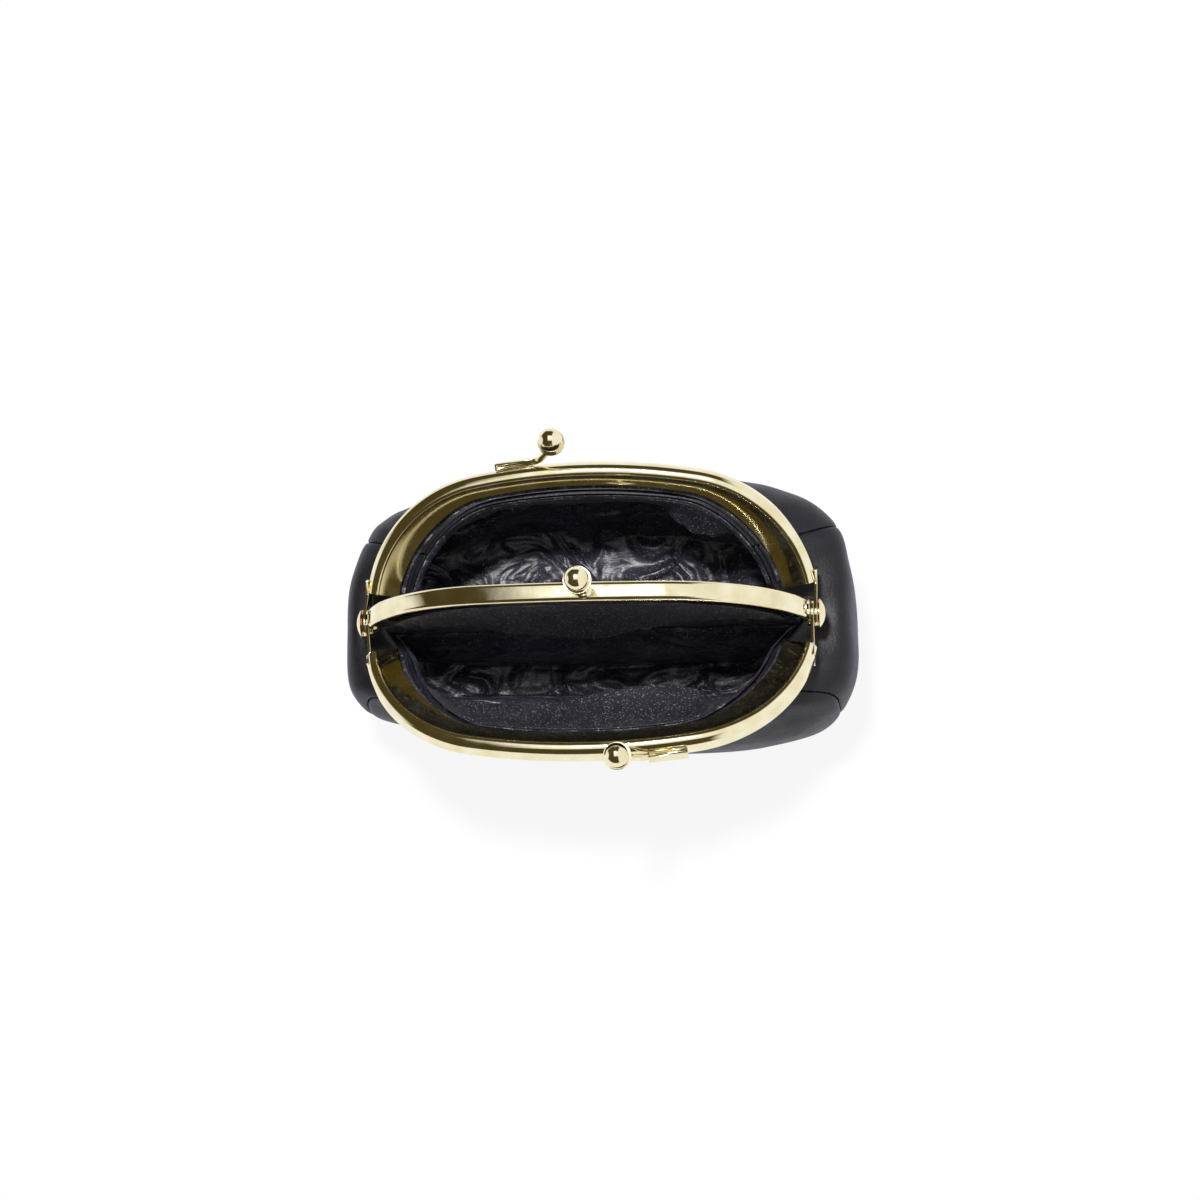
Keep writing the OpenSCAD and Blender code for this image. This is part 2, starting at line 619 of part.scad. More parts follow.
// Flat outline of the base, drawn in by d
module base_outline(d) {
    polygon([for (a = [0 : 5 : 355]) let (p = level(a, base_x - d, base_y(a) - d, 0)) [p[0], p[1]]]);
}
module base_panel() { color(black_leather) linear_extrude(leather_t) base_outline(0); }
lining_d = leather_t + layer_gap;
module base_board() {
    color(kraft) translate([0, 0, leather_t + seat_gap]) linear_extrude(board_t)
        base_outline(lining_d + board_t + 1);
}

// Divider hung in the centre channel, down to the floor of the pouches
divider_top = centre_cord_in + centre_cord_r + seat_gap;
module divider() {
    d = lining_d + lining_t + seat_gap;
    side = [for (t = [0 : row_step : last_row]) let (p = skin(0, t, d + hang(t))) if (p[2] > pouch_floor + lining_t)
        [p[0], p[2] - hinge_h]];
    top_x = arch_x(centre_arch, divider_top, leg_start) - soft_gap;
    arch = [for (i = [-12 : 12]) let (x = top_x * sin(i * 90 / 12)) [x, arch_u(centre_arch, divider_top, x)]];
    low = pouch_floor - hinge_h;
    color(dark_lining) translate([0, divider_t / 2, hinge_h]) rotate([90, 0, 0]) linear_extrude(divider_t)
        polygon(concat(
            arch,
            side,
            [[side[len(side) - 1][0], low], [-side[len(side) - 1][0], low]],
            [for (i = [len(side) - 1 : -1 : 0]) [-side[i][0], side[i][1]]]
        ));
}

// Angles round half the bag, the same as the leather's columns, so that the layers stay apart
half_angles = concat(
    [for (i = [gusset_columns / 2 : gusset_columns - 1]) -seam_angle + 2 * seam_angle * i / gusset_columns],
    [for (i = [0 : panel_columns]) seam_angle + (180 - 2 * seam_angle) * i / panel_columns],
    [for (i = [1 : gusset_columns / 2]) 180 - seam_angle + 2 * seam_angle * i / gusset_columns]
);

// Row at which a pouch's wall meets its floor
pouch_rows = 4;

// Pouch of lining on one side of the divider: outer and inner wall, floor and open mouth.
// way is 1 for the back compartment and -1 for the front one.
module pouch(way) {
    n = len(half_angles);
    m = pouch_rows / row_step;
    // Wall at depth d with its divider side at distance y0 and its floor at z0
    function wall(d, y0, z0) = [for (j = [0 : m]) for (a = half_angles)
        let (t = j * row_step, p = skin(way > 0 ? a : a + 180, t, d + hang(t)))
        [p[0], way * max(abs(p[1]), y0), j == m ? z0 : p[2]]];
    from_y = divider_t / 2 + seat_gap;
    points = concat(
        wall(lining_d, from_y, pouch_floor),
        wall(lining_d + lining_t, from_y + lining_t, pouch_floor + lining_t)
    );
    function at(k, j, i) = (k * (m + 1) + j) * n + i % n;
    faces = concat(
        [for (j = [0 : m - 1]) for (i = [0 : n - 1]) each [
            [at(0, j, i), at(0, j, i + 1), at(0, j + 1, i + 1)],
            [at(0, j, i), at(0, j + 1, i + 1), at(0, j + 1, i)],
            [at(1, j, i), at(1, j + 1, i + 1), at(1, j, i + 1)],
            [at(1, j, i), at(1, j + 1, i), at(1, j + 1, i + 1)]
        ]],
        [for (i = [0 : n - 1]) each [
            [at(0, 0, i), at(1, 0, i + 1), at(0, 0, i + 1)],
            [at(0, 0, i), at(1, 0, i), at(1, 0, i + 1)]
        ]],
        [for (i = [1 : n - 2]) each [
            [at(0, m, 0), at(0, m, i), at(0, m, i + 1)],
            [at(1, m, 0), at(1, m, i + 1), at(1, m, i)]
        ]]
    );
    color(dark_lining) polyhedron(points, faces);
}
module front_lining() { pouch(-1); }
module back_lining() { pouch(1); }

// Facing bands inside the mouth and the slip pocket on the back wall, in the same columns as the panels
facing_d = lining_d + lining_t + seat_gap;
panel_step = (180 - 2 * seam_angle) / panel_columns;
pocket_columns = 10;
module back_facing() {
    color(black_leather)
        patch(seam_angle, 180 - seam_angle, panel_columns, 0, facing_rows, facing_d, facing_d + lining_t);
}
module front_facing() {
    color(black_leather)
        patch(180 + seam_angle, 360 - seam_angle, panel_columns, 0, facing_rows, facing_d, facing_d + lining_t);
}
// Lowest row of the slip pocket, above the pouches' floor
pocket_last = 3.5;
module back_slip_pocket() {
    half = panel_step * pocket_columns / 2;
    color(dark_lining) patch(90 - half, 90 + half, pocket_columns, facing_rows + row_step, pocket_last,
        facing_d, facing_d + lining_t, true);
}

centre_frame();
front_frame();
back_frame();
left_hinge_rivet();
right_hinge_rivet();
left_hinge_washer();
right_hinge_washer();
front_lock_arm();
front_lock_cup();
front_lock_ball();
back_lock_arm();
back_lock_cup();
back_lock_ball();
centre_lock_post();
centre_lock_cup();
centre_lock_ball();
front_paper_cord();
back_paper_cord();
centre_paper_cord();
front_leather_hem();
back_leather_hem();
front_lining_hem();
back_lining_hem();
front_panel();
back_panel();
left_gusset();
right_gusset();
base_panel();
base_board();
divider();
front_lining();
back_lining();
front_facing();
back_facing();
back_slip_pocket();
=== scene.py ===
import math

import bpy
from mathutils import Matrix, Vector, noise


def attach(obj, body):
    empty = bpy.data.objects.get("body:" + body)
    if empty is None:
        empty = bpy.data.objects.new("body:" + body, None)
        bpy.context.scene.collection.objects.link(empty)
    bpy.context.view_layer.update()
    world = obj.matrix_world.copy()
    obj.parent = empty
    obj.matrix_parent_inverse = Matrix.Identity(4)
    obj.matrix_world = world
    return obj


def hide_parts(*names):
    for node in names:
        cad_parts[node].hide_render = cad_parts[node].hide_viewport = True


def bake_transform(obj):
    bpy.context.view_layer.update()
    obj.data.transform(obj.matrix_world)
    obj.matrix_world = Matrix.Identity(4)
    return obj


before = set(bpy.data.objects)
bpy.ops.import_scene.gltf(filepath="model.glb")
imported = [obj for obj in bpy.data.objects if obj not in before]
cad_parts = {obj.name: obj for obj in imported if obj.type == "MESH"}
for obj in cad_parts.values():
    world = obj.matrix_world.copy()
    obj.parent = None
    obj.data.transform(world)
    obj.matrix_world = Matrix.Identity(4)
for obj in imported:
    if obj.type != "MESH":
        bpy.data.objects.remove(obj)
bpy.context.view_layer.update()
mm = 0.001
weld = 0.01 * mm  # vertices closer than this are one
print("frame loaded")

# settings of the whole purse, in millimetres and degrees
purse = {
    "hingeHeight": 60.0,
    "frontOpen": 62.5,  # from upright
    "backOpen": 66.0,
    "frameOffset": 5.9,  # hinge plane to the middle of an outer channel
    "crownRise": 3.0,  # how much shallower an outer channel is at its crown
}


def deselect():
    if bpy.context.object and bpy.context.object.mode != "OBJECT":
        bpy.ops.object.mode_set(mode="OBJECT")
    bpy.ops.object.select_all(action="DESELECT")


def pick(piece):
    deselect()
    piece.select_set(True)
    bpy.context.view_layer.objects.active = piece


def editAll(piece):
    pick(piece)
    bpy.ops.object.mode_set(mode="EDIT")
    bpy.ops.mesh.select_mode(type="VERT")
    bpy.ops.mesh.select_all(action="SELECT")


def leaveEdit():
    bpy.ops.object.mode_set(mode="OBJECT")


def applyModifiers(piece):
    pick(piece)
    for modifier in list(piece.modifiers):
        bpy.ops.object.modifier_apply(modifier=modifier.name)


def modify(piece, kind, **settings):
    modifier = piece.modifiers.new(kind.title(), kind)
    for name, value in settings.items():
        setattr(modifier, name, value)
    return modifier


def bevelEdges(piece, width, segments):
    # rounds each edge that turns by more than 40 degrees
    modify(piece, "BEVEL", width=width * mm, segments=segments, limit_method="ANGLE",
           angle_limit=math.radians(40))
    applyModifiers(piece)


def settle(piece, place):
    # puts a piece made in its own lying frame where it belongs, with its place in its mesh
    piece.data.transform(place)
    piece.matrix_world = Matrix.Identity(4)
    editAll(piece)
    bpy.ops.mesh.remove_doubles(threshold=weld)
    bpy.ops.mesh.normals_make_consistent(inside=False)
    leaveEdit()
    return piece


def smooth(piece, degrees=30):
    pick(piece)
    bpy.ops.object.shade_smooth_by_angle(angle=math.radians(degrees))
    return piece


def loop(name, points, fill="NOTHING"):
    # a circle with one vertex for each point, each moved to its point (millimetres)
    deselect()
    bpy.ops.mesh.primitive_circle_add(vertices=len(points), radius=0.01, fill_type=fill)
    piece = bpy.context.object
    piece.name = name
    for vertex, point in zip(piece.data.vertices, points):
        vertex.co = Vector(point) * mm
    return piece


def plate(name, outline, thickness, place, bevel=0.0, segments=2):
    # flat outline in the XY plane, thickened along Z
    piece = loop(name, [(x, y, 0) for x, y in outline], "NGON")
    editAll(piece)
    bpy.ops.mesh.extrude_region_move(TRANSFORM_OT_translate={"value": (0, 0, thickness * mm)})
    leaveEdit()
    settle(piece, place)
    if bevel:
        bevelEdges(piece, bevel, segments)
    return piece


def turned(name, profile, place, steps=48):
    # closed section of (radius, height) turned about Z
    piece = loop(name, [(r, 0, z) for r, z in profile])
    editAll(piece)
    bpy.ops.mesh.spin(steps=steps, angle=math.tau, center=(0, 0, 0), axis=(0, 0, 1))
    bpy.ops.mesh.remove_doubles(threshold=0.4 * weld)
    bpy.ops.mesh.dissolve_degenerate(threshold=0.2 * weld)
    leaveEdit()
    return smooth(settle(piece, place))


def join(name, pieces):
    deselect()
    for piece in pieces:
        piece.select_set(True)
    bpy.context.view_layer.objects.active = pieces[0]
    bpy.ops.object.join()
    pieces[0].name = name
    return pieces[0]


def hinge(open=0.0, mirrored=False):
    # place of a frame drawn lying: X along the hinge line, Y up the frame, Z outwards
    turn = Matrix.Rotation(math.radians(90 + open), 4, "X")
    flip = Matrix.Scale(-1, 4, (0, 1, 0)) if mirrored else Matrix.Identity(4)
    return Matrix.Translation((0, 0, purse["hingeHeight"] * mm)) @ flip @ turn


frontPlace = hinge(purse["frontOpen"])
backPlace = hinge(purse["backOpen"], True)
centrePlace = hinge()


def linear(hexColour):
    channels = [int(hexColour[i : i + 2], 16) / 255 for i in (1, 3, 5)]
    return [c / 12.92 if c <= 0.04045 else ((c + 0.055) / 1.055) ** 2.4 for c in channels] + [1.0]


def addNode(tree, kind, settings=None, links=None):
    node = tree.nodes.new(kind)
    for name, value in (settings or {}).items():
        if isinstance(name, str) and hasattr(node, name):
            setattr(node, name, value)
        else:
            node.inputs[name].default_value = value
    for name, source in (links or {}).items():
        tree.links.new(source, node.inputs[name])
    return node


def newMaterial(name):
    material = bpy.data.materials.new(name)
    material.use_nodes = True
    tree = material.node_tree
    tree.nodes.clear()
    return material, tree


def colourRamp(tree, source, stops):
    ramp = addNode(tree, "ShaderNodeValToRGB", links={"Fac": source})
    elements = ramp.color_ramp.elements
    elements.remove(elements[1])
    elements[0].position, elements[0].color = stops[0][0], linear(stops[0][1])
    for position, colour in stops[1:]:
        elements.new(position).color = linear(colour)
    return ramp


def finish(tree, shader):
    addNode(tree, "ShaderNodeOutputMaterial", links={"Surface": shader.outputs["BSDF"]})


# Pale gold plate on pressed steel: a bright cream mirror, with a faint film in patches and fine wipe marks.
# Here and below, a pattern's scale is its number of cells to a metre.
gold = {"film": 180.0, "wipe": 700.0}  # 5.6 mm and 1.4 mm across


def paleGold(name="paleGoldPlate", colour="#F5EDD0", worn="#E8DDB4"):
    material, tree = newMaterial(name)
    here = addNode(tree, "ShaderNodeTexCoord").outputs["Object"]
    film = addNode(tree, "ShaderNodeTexNoise", {"Scale": gold["film"], "Detail": 4.0}, {"Vector": here})
    tint = colourRamp(tree, film.outputs["Fac"], [(0.35, worn), (0.65, colour)])
    rough = addNode(tree, "ShaderNodeMapRange",
                    {"From Min": 0.3, "From Max": 0.7, "To Min": 0.05, "To Max": 0.13},
                    {"Value": film.outputs["Fac"]})
    wipe = addNode(tree, "ShaderNodeTexNoise", {"Scale": gold["wipe"], "Detail": 2.0}, {"Vector": here})
    bump = addNode(tree, "ShaderNodeBump", {"Strength": 0.05, "Distance": 0.1 * mm},
                   {"Height": wipe.outputs["Fac"]})
    shader = addNode(tree, "ShaderNodeBsdfPrincipled", {"Metallic": 1.0},
                     {"Base Color": tint.outputs["Color"], "Roughness": rough.outputs["Result"],
                      "Normal": bump.outputs["Normal"]})
    finish(tree, shader)
    return material


# Nappa leather, drum dyed black: fine closed pebble 0.8 mm across, with creases 4 mm apart, under a soft
# satin top coat with a blue sheen
hide = {"pebble": 1300.0, "crease": 230.0}


def nappa(name="blackNappa"):
    material, tree = newMaterial(name)
    here = addNode(tree, "ShaderNodeTexCoord").outputs["Object"]
    grain = addNode(tree, "ShaderNodeTexVoronoi", {"Scale": hide["pebble"]}, {"Vector": here})
    crease = addNode(tree, "ShaderNodeTexNoise", {"Scale": hide["crease"], "Detail": 6.0, "Roughness": 0.65},
                     {"Vector": here})
    both = addNode(tree, "ShaderNodeMath", {"operation": "MULTIPLY_ADD", 1: 0.5},
                   {0: grain.outputs["Distance"], 2: crease.outputs["Fac"]})
    bump = addNode(tree, "ShaderNodeBump", {"Strength": 0.4, "Distance": 0.3 * mm},
                   {"Height": both.outputs["Value"]})
    dye = colourRamp(tree, crease.outputs["Fac"], [(0.3, "#0A0A0F"), (0.7, "#17171F")])
    rough = addNode(tree, "ShaderNodeMapRange",
                    {"From Min": 0.2, "From Max": 0.8, "To Min": 0.4, "To Max": 0.6},
                    {"Value": crease.outputs["Fac"]})
    shader = addNode(tree, "ShaderNodeBsdfPrincipled",
                     {"Specular IOR Level": 0.36, "Sheen Weight": 0.18, "Sheen Roughness": 0.3,
                      "Sheen Tint": linear("#8A92D8")},
                     {"Base Color": dye.outputs["Color"], "Roughness": rough.outputs["Result"],
                      "Normal": bump.outputs["Normal"]})
    finish(tree, shader)
    return material


# Woven cloth with long floats: cloudy tone, thread bump, and tiny painted glints, light specks mixed into the
# base colour where a thread would catch the light, drawn 0.4 mm across, coarser than the thread, so that they
# show
weave = {"cloud": 90.0, "paintedGlint": 2400.0, "crease": 75.0}  # 11 mm, 0.4 mm and 13 mm across


def woven(name, dark, light, paintedGlint, paintedGlintShare=0.62, roughness=0.4, threads=1500.0, bumpStrength=0.3,
          sheen=0.3, creases=0.0):
    material, tree = newMaterial(name)
    here = addNode(tree, "ShaderNodeTexCoord").outputs["Object"]
    stretch = addNode(tree, "ShaderNodeMapping", {"Scale": (0.35, 1.0, 1.0)}, {"Vector": here})
    thread = addNode(tree, "ShaderNodeTexNoise", {"Scale": threads, "Detail": 2.0},
                     {"Vector": stretch.outputs["Vector"]})
    cloud = addNode(tree, "ShaderNodeTexNoise", {"Scale": weave["cloud"], "Detail": 4.0}, {"Vector": here})
    tone = colourRamp(tree, cloud.outputs["Fac"], [(0.35, dark), (0.7, light)])
    # painted highlight: sparse light specks mixed into the base colour, not made by the lamps
    paintedGlintNoise = addNode(tree, "ShaderNodeTexNoise", {"Scale": weave["paintedGlint"], "Detail": 1.0}, {"Vector": here})
    paintedGlintMask = addNode(tree, "ShaderNodeMapRange", {"From Min": paintedGlintShare, "From Max": paintedGlintShare + 0.08},
                    {"Value": paintedGlintNoise.outputs["Fac"]})
    colour = addNode(tree, "ShaderNodeMix", {"data_type": "RGBA"},
                     {0: paintedGlintMask.outputs["Result"], 6: tone.outputs["Color"]})
    colour.inputs[7].default_value = linear(paintedGlint)
    bump = addNode(tree, "ShaderNodeBump", {"Strength": bumpStrength, "Distance": 0.2 * mm},
                   {"Height": thread.outputs["Fac"]})
    if creases:
        soft = addNode(tree, "ShaderNodeTexNoise",
                       {"Scale": weave["crease"], "Detail": 1.5, "Distortion": 1.4}, {"Vector": here})
        bump = addNode(tree, "ShaderNodeBump", {"Strength": creases, "Distance": 6 * mm},
                       {"Height": soft.outputs["Fac"], "Normal": bump.outputs["Normal"]})
    shader = addNode(tree, "ShaderNodeBsdfPrincipled",
                     {"Roughness": roughness, "Specular IOR Level": 0.42, "Sheen Weight": sheen,
                      "Sheen Roughness": 0.35, "Sheen Tint": linear("#B8AFC8")},
                     {"Base Color": colour.outputs[2], "Normal": bump.outputs["Normal"]})
    finish(tree, shader)
    return material


goldMaterial = paleGold()
copperMaterial = paleGold("copperPlate", "#E8B48C", "#C88C5E")
leatherMaterial = nappa()
# Lining satin, dark with a grey mauve shine, partly its sheen and partly painted glints in its colour, and
# soft creases about 13 mm apart
satinMaterial = woven("navySatin", "#211F29", "#3C3944", "#928C9C", paintedGlintShare=0.645, roughness=0.36,
                      bumpStrength=0.4, sheen=0.1, creases=0.8)
# Dull ribbed facing cloth, with painted glints in its colour
facingMaterial = woven("grosgrainCloth", "#1B1B20", "#303036", "#9E9CA7", paintedGlintShare=0.63, roughness=0.6,
                       threads=1900.0, bumpStrength=0.5, sheen=0.1)
# Brown kraft paper, twisted, with a dull fibre and painted light specks in its colour
kraftMaterial = woven("twistedPaper", "#7A6242", "#A88D63", "#B89D73")
# Grey pressed card, with painted light specks in its colour
cardMaterial = woven("greyCard", "#6A655A", "#8E887A", "#9E988A")


def dress(piece, material, slot, body, *nodes):
    piece.data.materials.clear()
    piece.data.materials.append(material)
    if nodes:
        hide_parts(*nodes)
    if body:
        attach(piece, body)
    return piece


print("materials made")

outerArch = {"halfWidth": 59.0, "height": 39.8, "shoulder": 36.5, "crown": 164.0, "legStart": 7.5,
             "channel": 6.4, "depth": 8.5, "metal": 0.8, "bead": 2.3, "step": 0.3}
centreArch = {"halfWidth": 58.8, "height": 35.0, "shoulder": 40.0, "crown": 236.0, "legStart": 7.5,
              "channel": 5.0, "depth": 6.5, "metal": 0.8, "bead": 1.2, "step": 0.3}


# the rolled bead runs into the flange over beadFoot times its radius, eased by soften, and the flange ends in
# a rounded lip
rolled = {"beadFoot": 1.4, "soften": 0.25, "lip": 0.15, "lipIn": 0.3}


def archCentres(arch):
    cx = arch["halfWidth"] - arch["shoulder"]
    crownY = arch["height"] - arch["crown"]
    shoulderY = crownY + math.sqrt((arch["crown"] - arch["shoulder"]) ** 2 - cx ** 2)
    return cx, shoulderY, crownY, math.atan2(shoulderY - crownY, cx)


def archX(arch, inset, height):
    cx, shoulderY = archCentres(arch)[:2]
    return cx + math.sqrt((arch["shoulder"] - inset) ** 2 - (height - shoulderY) ** 2)


def archY(arch, inset, x):
    cx, shoulderY, crownY, joinAngle = archCentres(arch)
    if abs(x) > cx + (arch["shoulder"] - inset) * math.cos(joinAngle):
        return shoulderY + math.sqrt((arch["shoulder"] - inset) ** 2 - (abs(x) - cx) ** 2)
    return crownY + math.sqrt((arch["crown"] - inset) ** 2 - x * x)


def crownShare(up):
    return max(0.0, up) ** 6


def corner(x, y, r, start, count=7):
    turn = [math.radians(start + 90 * i / count) for i in range(count + 1)]
    return [(x + r * math.cos(t), y + r * math.sin(t)) for t in turn]


def channelSection(arch):
    w, depth, metal, bead, step = (arch[k] for k in ("channel", "depth", "metal", "bead", "step"))
    flange = w / 2 - step
    inside = flange - metal
    low = rolled["beadFoot"] * bead
    soften, lip, lipIn = rolled["soften"], rolled["lip"], rolled["lipIn"]
    fillet = max(0.1, bead - step - metal)
    return (
        [(-depth, -flange), (-low - soften, -flange), (-low, -w / 2 + step / 2), (-low + soften, -w / 2)]
        + corner(-bead, -(w / 2 - bead), bead, -90) + corner(-bead, w / 2 - bead, bead, 0)
        + [(-low + soften, w / 2), (-low, w / 2 - step / 2), (-low - soften, flange), (-depth, flange)]
        + [(-depth - lip, flange - lipIn), (-depth, inside)]
        + [(-metal - fillet, inside), (-metal, inside - fillet)]
        + [(-metal, fillet - inside), (-metal - fillet, -inside)]
        + [(-depth, -inside), (-depth - lip, lipIn - flange)]
    )


def onArch(arch, x, y):
    # centre of the arc that a point lies by, the way outwards there and the distance outwards from the arch
    cx, shoulderY, crownY, joinAngle = archCentres(arch)
    shoulder = math.atan2(y - shoulderY, abs(x) - cx) < joinAngle
    centre = Vector((math.copysign(cx, x), shoulderY)) if shoulder else Vector((0, crownY))
    ray = Vector((x, y)) - centre
    return ray.normalized(), ray.length - (arch["shoulder"] if shoulder else arch["crown"])


def raiseLip(piece, arch, top, bottom):
    # moves the edge away from the web outwards at the crown, where the channel is shallower
    for vertex in piece.data.vertices:
        away, out = onArch(arch, vertex.co.x / mm, vertex.co.y / mm)
        share = crownShare(away.y) * min(1.0, max(0.0, (-out - top) / (bottom - top)))
        vertex.co.x += away.x * share * purse["crownRise"] * mm
        vertex.co.y += away.y * share * purse["crownRise"] * mm


def alongArch(name, arch, section, start, offset):
    # draws the section at the foot of the right leg, spins it round shoulder, crown and shoulder, and closes
    # both ends
    cx, shoulderY, crownY, joinAngle = archCentres(arch)
    first = math.asin((start - shoulderY) / arch["shoulder"])
    points = []
    for out, side in section:
        r = arch["shoulder"] + out
        points.append((cx + r * math.cos(first), shoulderY + r * math.sin(first), side + offset))
    piece = loop(name, points)
    editAll(piece)
    bends = [(cx, shoulderY, joinAngle - first, 40), (0, crownY, math.pi - 2 * joinAngle, 30),
             (-cx, shoulderY, joinAngle - first, 40)]
    for x, y, angle, steps in bends:
        bpy.ops.mesh.spin(steps=steps, angle=-angle, center=(x * mm, y * mm, 0), axis=(0, 0, 1))
    bpy.ops.mesh.edge_face_add()
    leaveEdit()
    for part in (piece.data.vertices, piece.data.edges, piece.data.polygons):
        part.foreach_set("select", [False] * len(part))
    for vertex in piece.data.vertices[: len(points)]:
        vertex.select = True
    pick(piece)
    bpy.ops.object.mode_set(mode="EDIT")
    bpy.ops.mesh.select_mode(type="VERT")
    bpy.ops.mesh.edge_face_add()
    leaveEdit()
    return piece


ears = {"front": 57.1, "centre": 56.2, "back": 58.0, "radius": 3.6, "thickness": 0.8, "shank": 1.5,
        "clearance": 0.05, "joggle": 2.4, "boreDepth": 4.0, "edge": 0.15, "sideInset": 0.6,
        "rootLow": 0.5, "rootHigh": 3.0, "joggleIn": 0.4, "joggleLow": 0.3, "joggleHigh": 2.1,
        "joggleEdge": 0.1,
        "centreHigh": 1.2, "centreIn": 1.0, "centreJoggle": 1.6}


def ear(name, outline, x, mirrored):
    # the outline is (height, outwards); the plate stands across the hinge line
    across = Matrix(((0, 0, 1, 0), (1, 0, 0, 0), (0, 1, 0, 0), (0, 0, 0, 1)))
    side = Matrix.Scale(-1, 4, (1, 0, 0)) if mirrored else Matrix.Identity(4)
    there = side @ Matrix.Translation((x * mm, 0, 0)) @ across
    piece = plate(name, outline, ears["thickness"], there, ears["edge"])
    deselect()
    bpy.ops.mesh.primitive_cylinder_add(
        vertices=40, radius=(ears["shank"] + ears["clearance"]) * mm, depth=ears["boreDepth"] * mm,
        location=((-x if mirrored else x) * mm, 0, 0), rotation=(0, math.pi / 2, 0))
    bore = bpy.context.object
    modify(piece, "BOOLEAN", object=bore, operation="DIFFERENCE", solver="EXACT")
    applyModifiers(piece)
    bpy.data.objects.remove(bore)
    return piece


def arcPoints(radius, start, stop, count):
    turn = [math.radians(start + (stop - start) * i / count) for i in range(count + 1)]
    return [(radius * math.cos(t), radius * math.sin(t)) for t in turn]


def frameShell(name, arch, offset, earX, place, outer):
    channel = alongArch(name, arch, channelSection(arch), arch["legStart"], offset)
    if outer:
        raiseLip(channel, arch, rolled["beadFoot"] * arch["bead"] + rolled["soften"], arch["depth"])
    parts = [channel]
    half = arch["channel"] / 2 - ears["sideInset"]
    for mirrored in (False, True):
        if outer:
            top, low = arch["legStart"] + ears["rootHigh"], arch["legStart"] - ears["rootLow"]
            outline = arcPoints(ears["radius"], 110, 325, 36)
            outline += [(low, offset - half), (top, offset - half)]
            outline += [(top, offset + half), (low, offset + half)]
            x0, x1 = ears["front"] + ears["joggleIn"], max(earX, ears["front"]) + ears["thickness"]
            wide = ears["joggle"]
            low, top = arch["legStart"] - ears["joggleLow"], arch["legStart"] + ears["joggleHigh"]
        else:
            top = arch["legStart"] + ears["centreHigh"]
            outline = arcPoints(ears["radius"], 35, 325, 40) + [(top, -half), (top, half)]
            x0, x1 = earX - ears["centreIn"], earX + ears["thickness"]
            wide, low = ears["centreJoggle"], arch["legStart"]
        parts.append(ear(name + "Ear", outline, earX, mirrored))
        flip = -1 if mirrored else 1
        box = [(flip * x0, low), (flip * x1, low), (flip * x1, top), (flip * x0, top)]
        seat = Matrix.Translation((0, 0, (offset - wide / 2) * mm))
        parts.append(plate(name + "Joggle", box, wide, seat, ears["joggleEdge"]))
    piece = join(name, parts)
    return smooth(settle(piece, place), 35)


for side, place in (("front", frontPlace), ("back", backPlace)):
    shell = frameShell(side + "FrameShell", outerArch, purse["frameOffset"], ears[side], place, True)
    dress(shell, goldMaterial, "pale_gold_plate", side, side + "_frame")
shell = frameShell("centreFrameShell", centreArch, 0.0, ears["centre"], centrePlace, False)
dress(shell, goldMaterial, "pale_gold_plate", "bag", "centre_frame")
print("frames made")

rivet = {"head": 4.0, "dome": 1.5, "headX": 59.35, "washerX": 58.85, "washerRadius": 3.7, "tailX": 56.15,
         "tail": 0.8, "tailRadius": 2.4, "tailEnd": 2.0, "washerGap": 0.05, "washerEdge": 0.1}


def domeProfile(radius, height, count=9):
    ball = (radius * radius + height * height) / (2 * height)
    top = math.asin(radius / ball)
    turn = [top * i / count for i in range(count + 1)]
    return [(ball * math.sin(a), height - ball + ball * math.cos(a)) for a in turn]


for side, way in (("left", -1), ("right", 1)):
    out = Matrix.Translation((0, 0, purse["hingeHeight"] * mm)) @ Matrix.Rotation(way * math.pi / 2, 4, "Y")
    x = rivet["headX"]
    head = [(r, x + z) for r, z in domeProfile(rivet["head"], rivet["dome"])]
    stem = [(ears["shank"], x), (ears["shank"], rivet["tailX"]), (rivet["tailRadius"], rivet["tailX"]),
            (rivet["tailEnd"], rivet["tailX"] - rivet["tail"]), (0, rivet["tailX"] - rivet["tail"])]
    made = turned(side + "RivetTurned", head + stem, out)
    dress(made, goldMaterial, "pale_gold_plate", "bag", side + "_hinge_rivet")
    w0, w1, ease = rivet["washerX"], rivet["headX"] - rivet["washerGap"], rivet["washerEdge"]
    bore, rim = ears["shank"] + ears["clearance"], rivet["washerRadius"]
    ring = [(bore, w0), (rim - ease, w0), (rim, w0 + ease), (rim, w1 - ease), (rim - ease, w1), (bore, w1)]
    made = turned(side + "WasherTurned", ring, out)
    dress(made, copperMaterial, "copper_washer", "bag", side + "_hinge_washer")

lock = {"ball": 3.0, "ballFlat": 0.35, "cup": 3.5, "cupHeight": 2.2, "rise": 7.8, "reach": 11.8, "arm": 1.1,
        "foot": (10.0, 1.8, 2.6), "grooveRim": 0.45, "grooveWall": 0.12, "grooveDepth": 0.9, "run": 6.3,
        "frontX": 10.3, "centreX": 3.2, "backX": -6.7, "centreRise": 14.0, "cupFloor": 0.7, "fit": 0.05,
        "seat": 0.1, "clipEdge": 0.1, "armThinner": 0.2, "heelIn": 1.5, "heelUp": 0.35, "bendOut": 1.7,
        "shinBack": 2.6, "shinSide": 1.2, "postFoot": 2.0, "postWaist": 1.5}
ballY = outerArch["height"] + lock["rise"]
ballZ = purse["frameOffset"] - lock["reach"]
elbowY = outerArch["height"] + lock["foot"][1] / 2
armTilt = math.atan2(lock["reach"], ballY - elbowY)
cupBack = lock["ball"] + lock["cupFloor"]


def polishedBall(name, place):
    deselect()
    bpy.ops.mesh.primitive_uv_sphere_add(segments=64, ring_count=40, radius=lock["ball"] * mm)
    piece = bpy.context.object
    piece.name = name
    editAll(piece)
    bpy.ops.mesh.bisect(plane_co=(0, 0, (lock["ballFlat"] - lock["ball"]) * mm), plane_no=(0, 0, -1),
                        use_fill=True, clear_outer=True)
    leaveEdit()
    return smooth(settle(piece, place), 40)


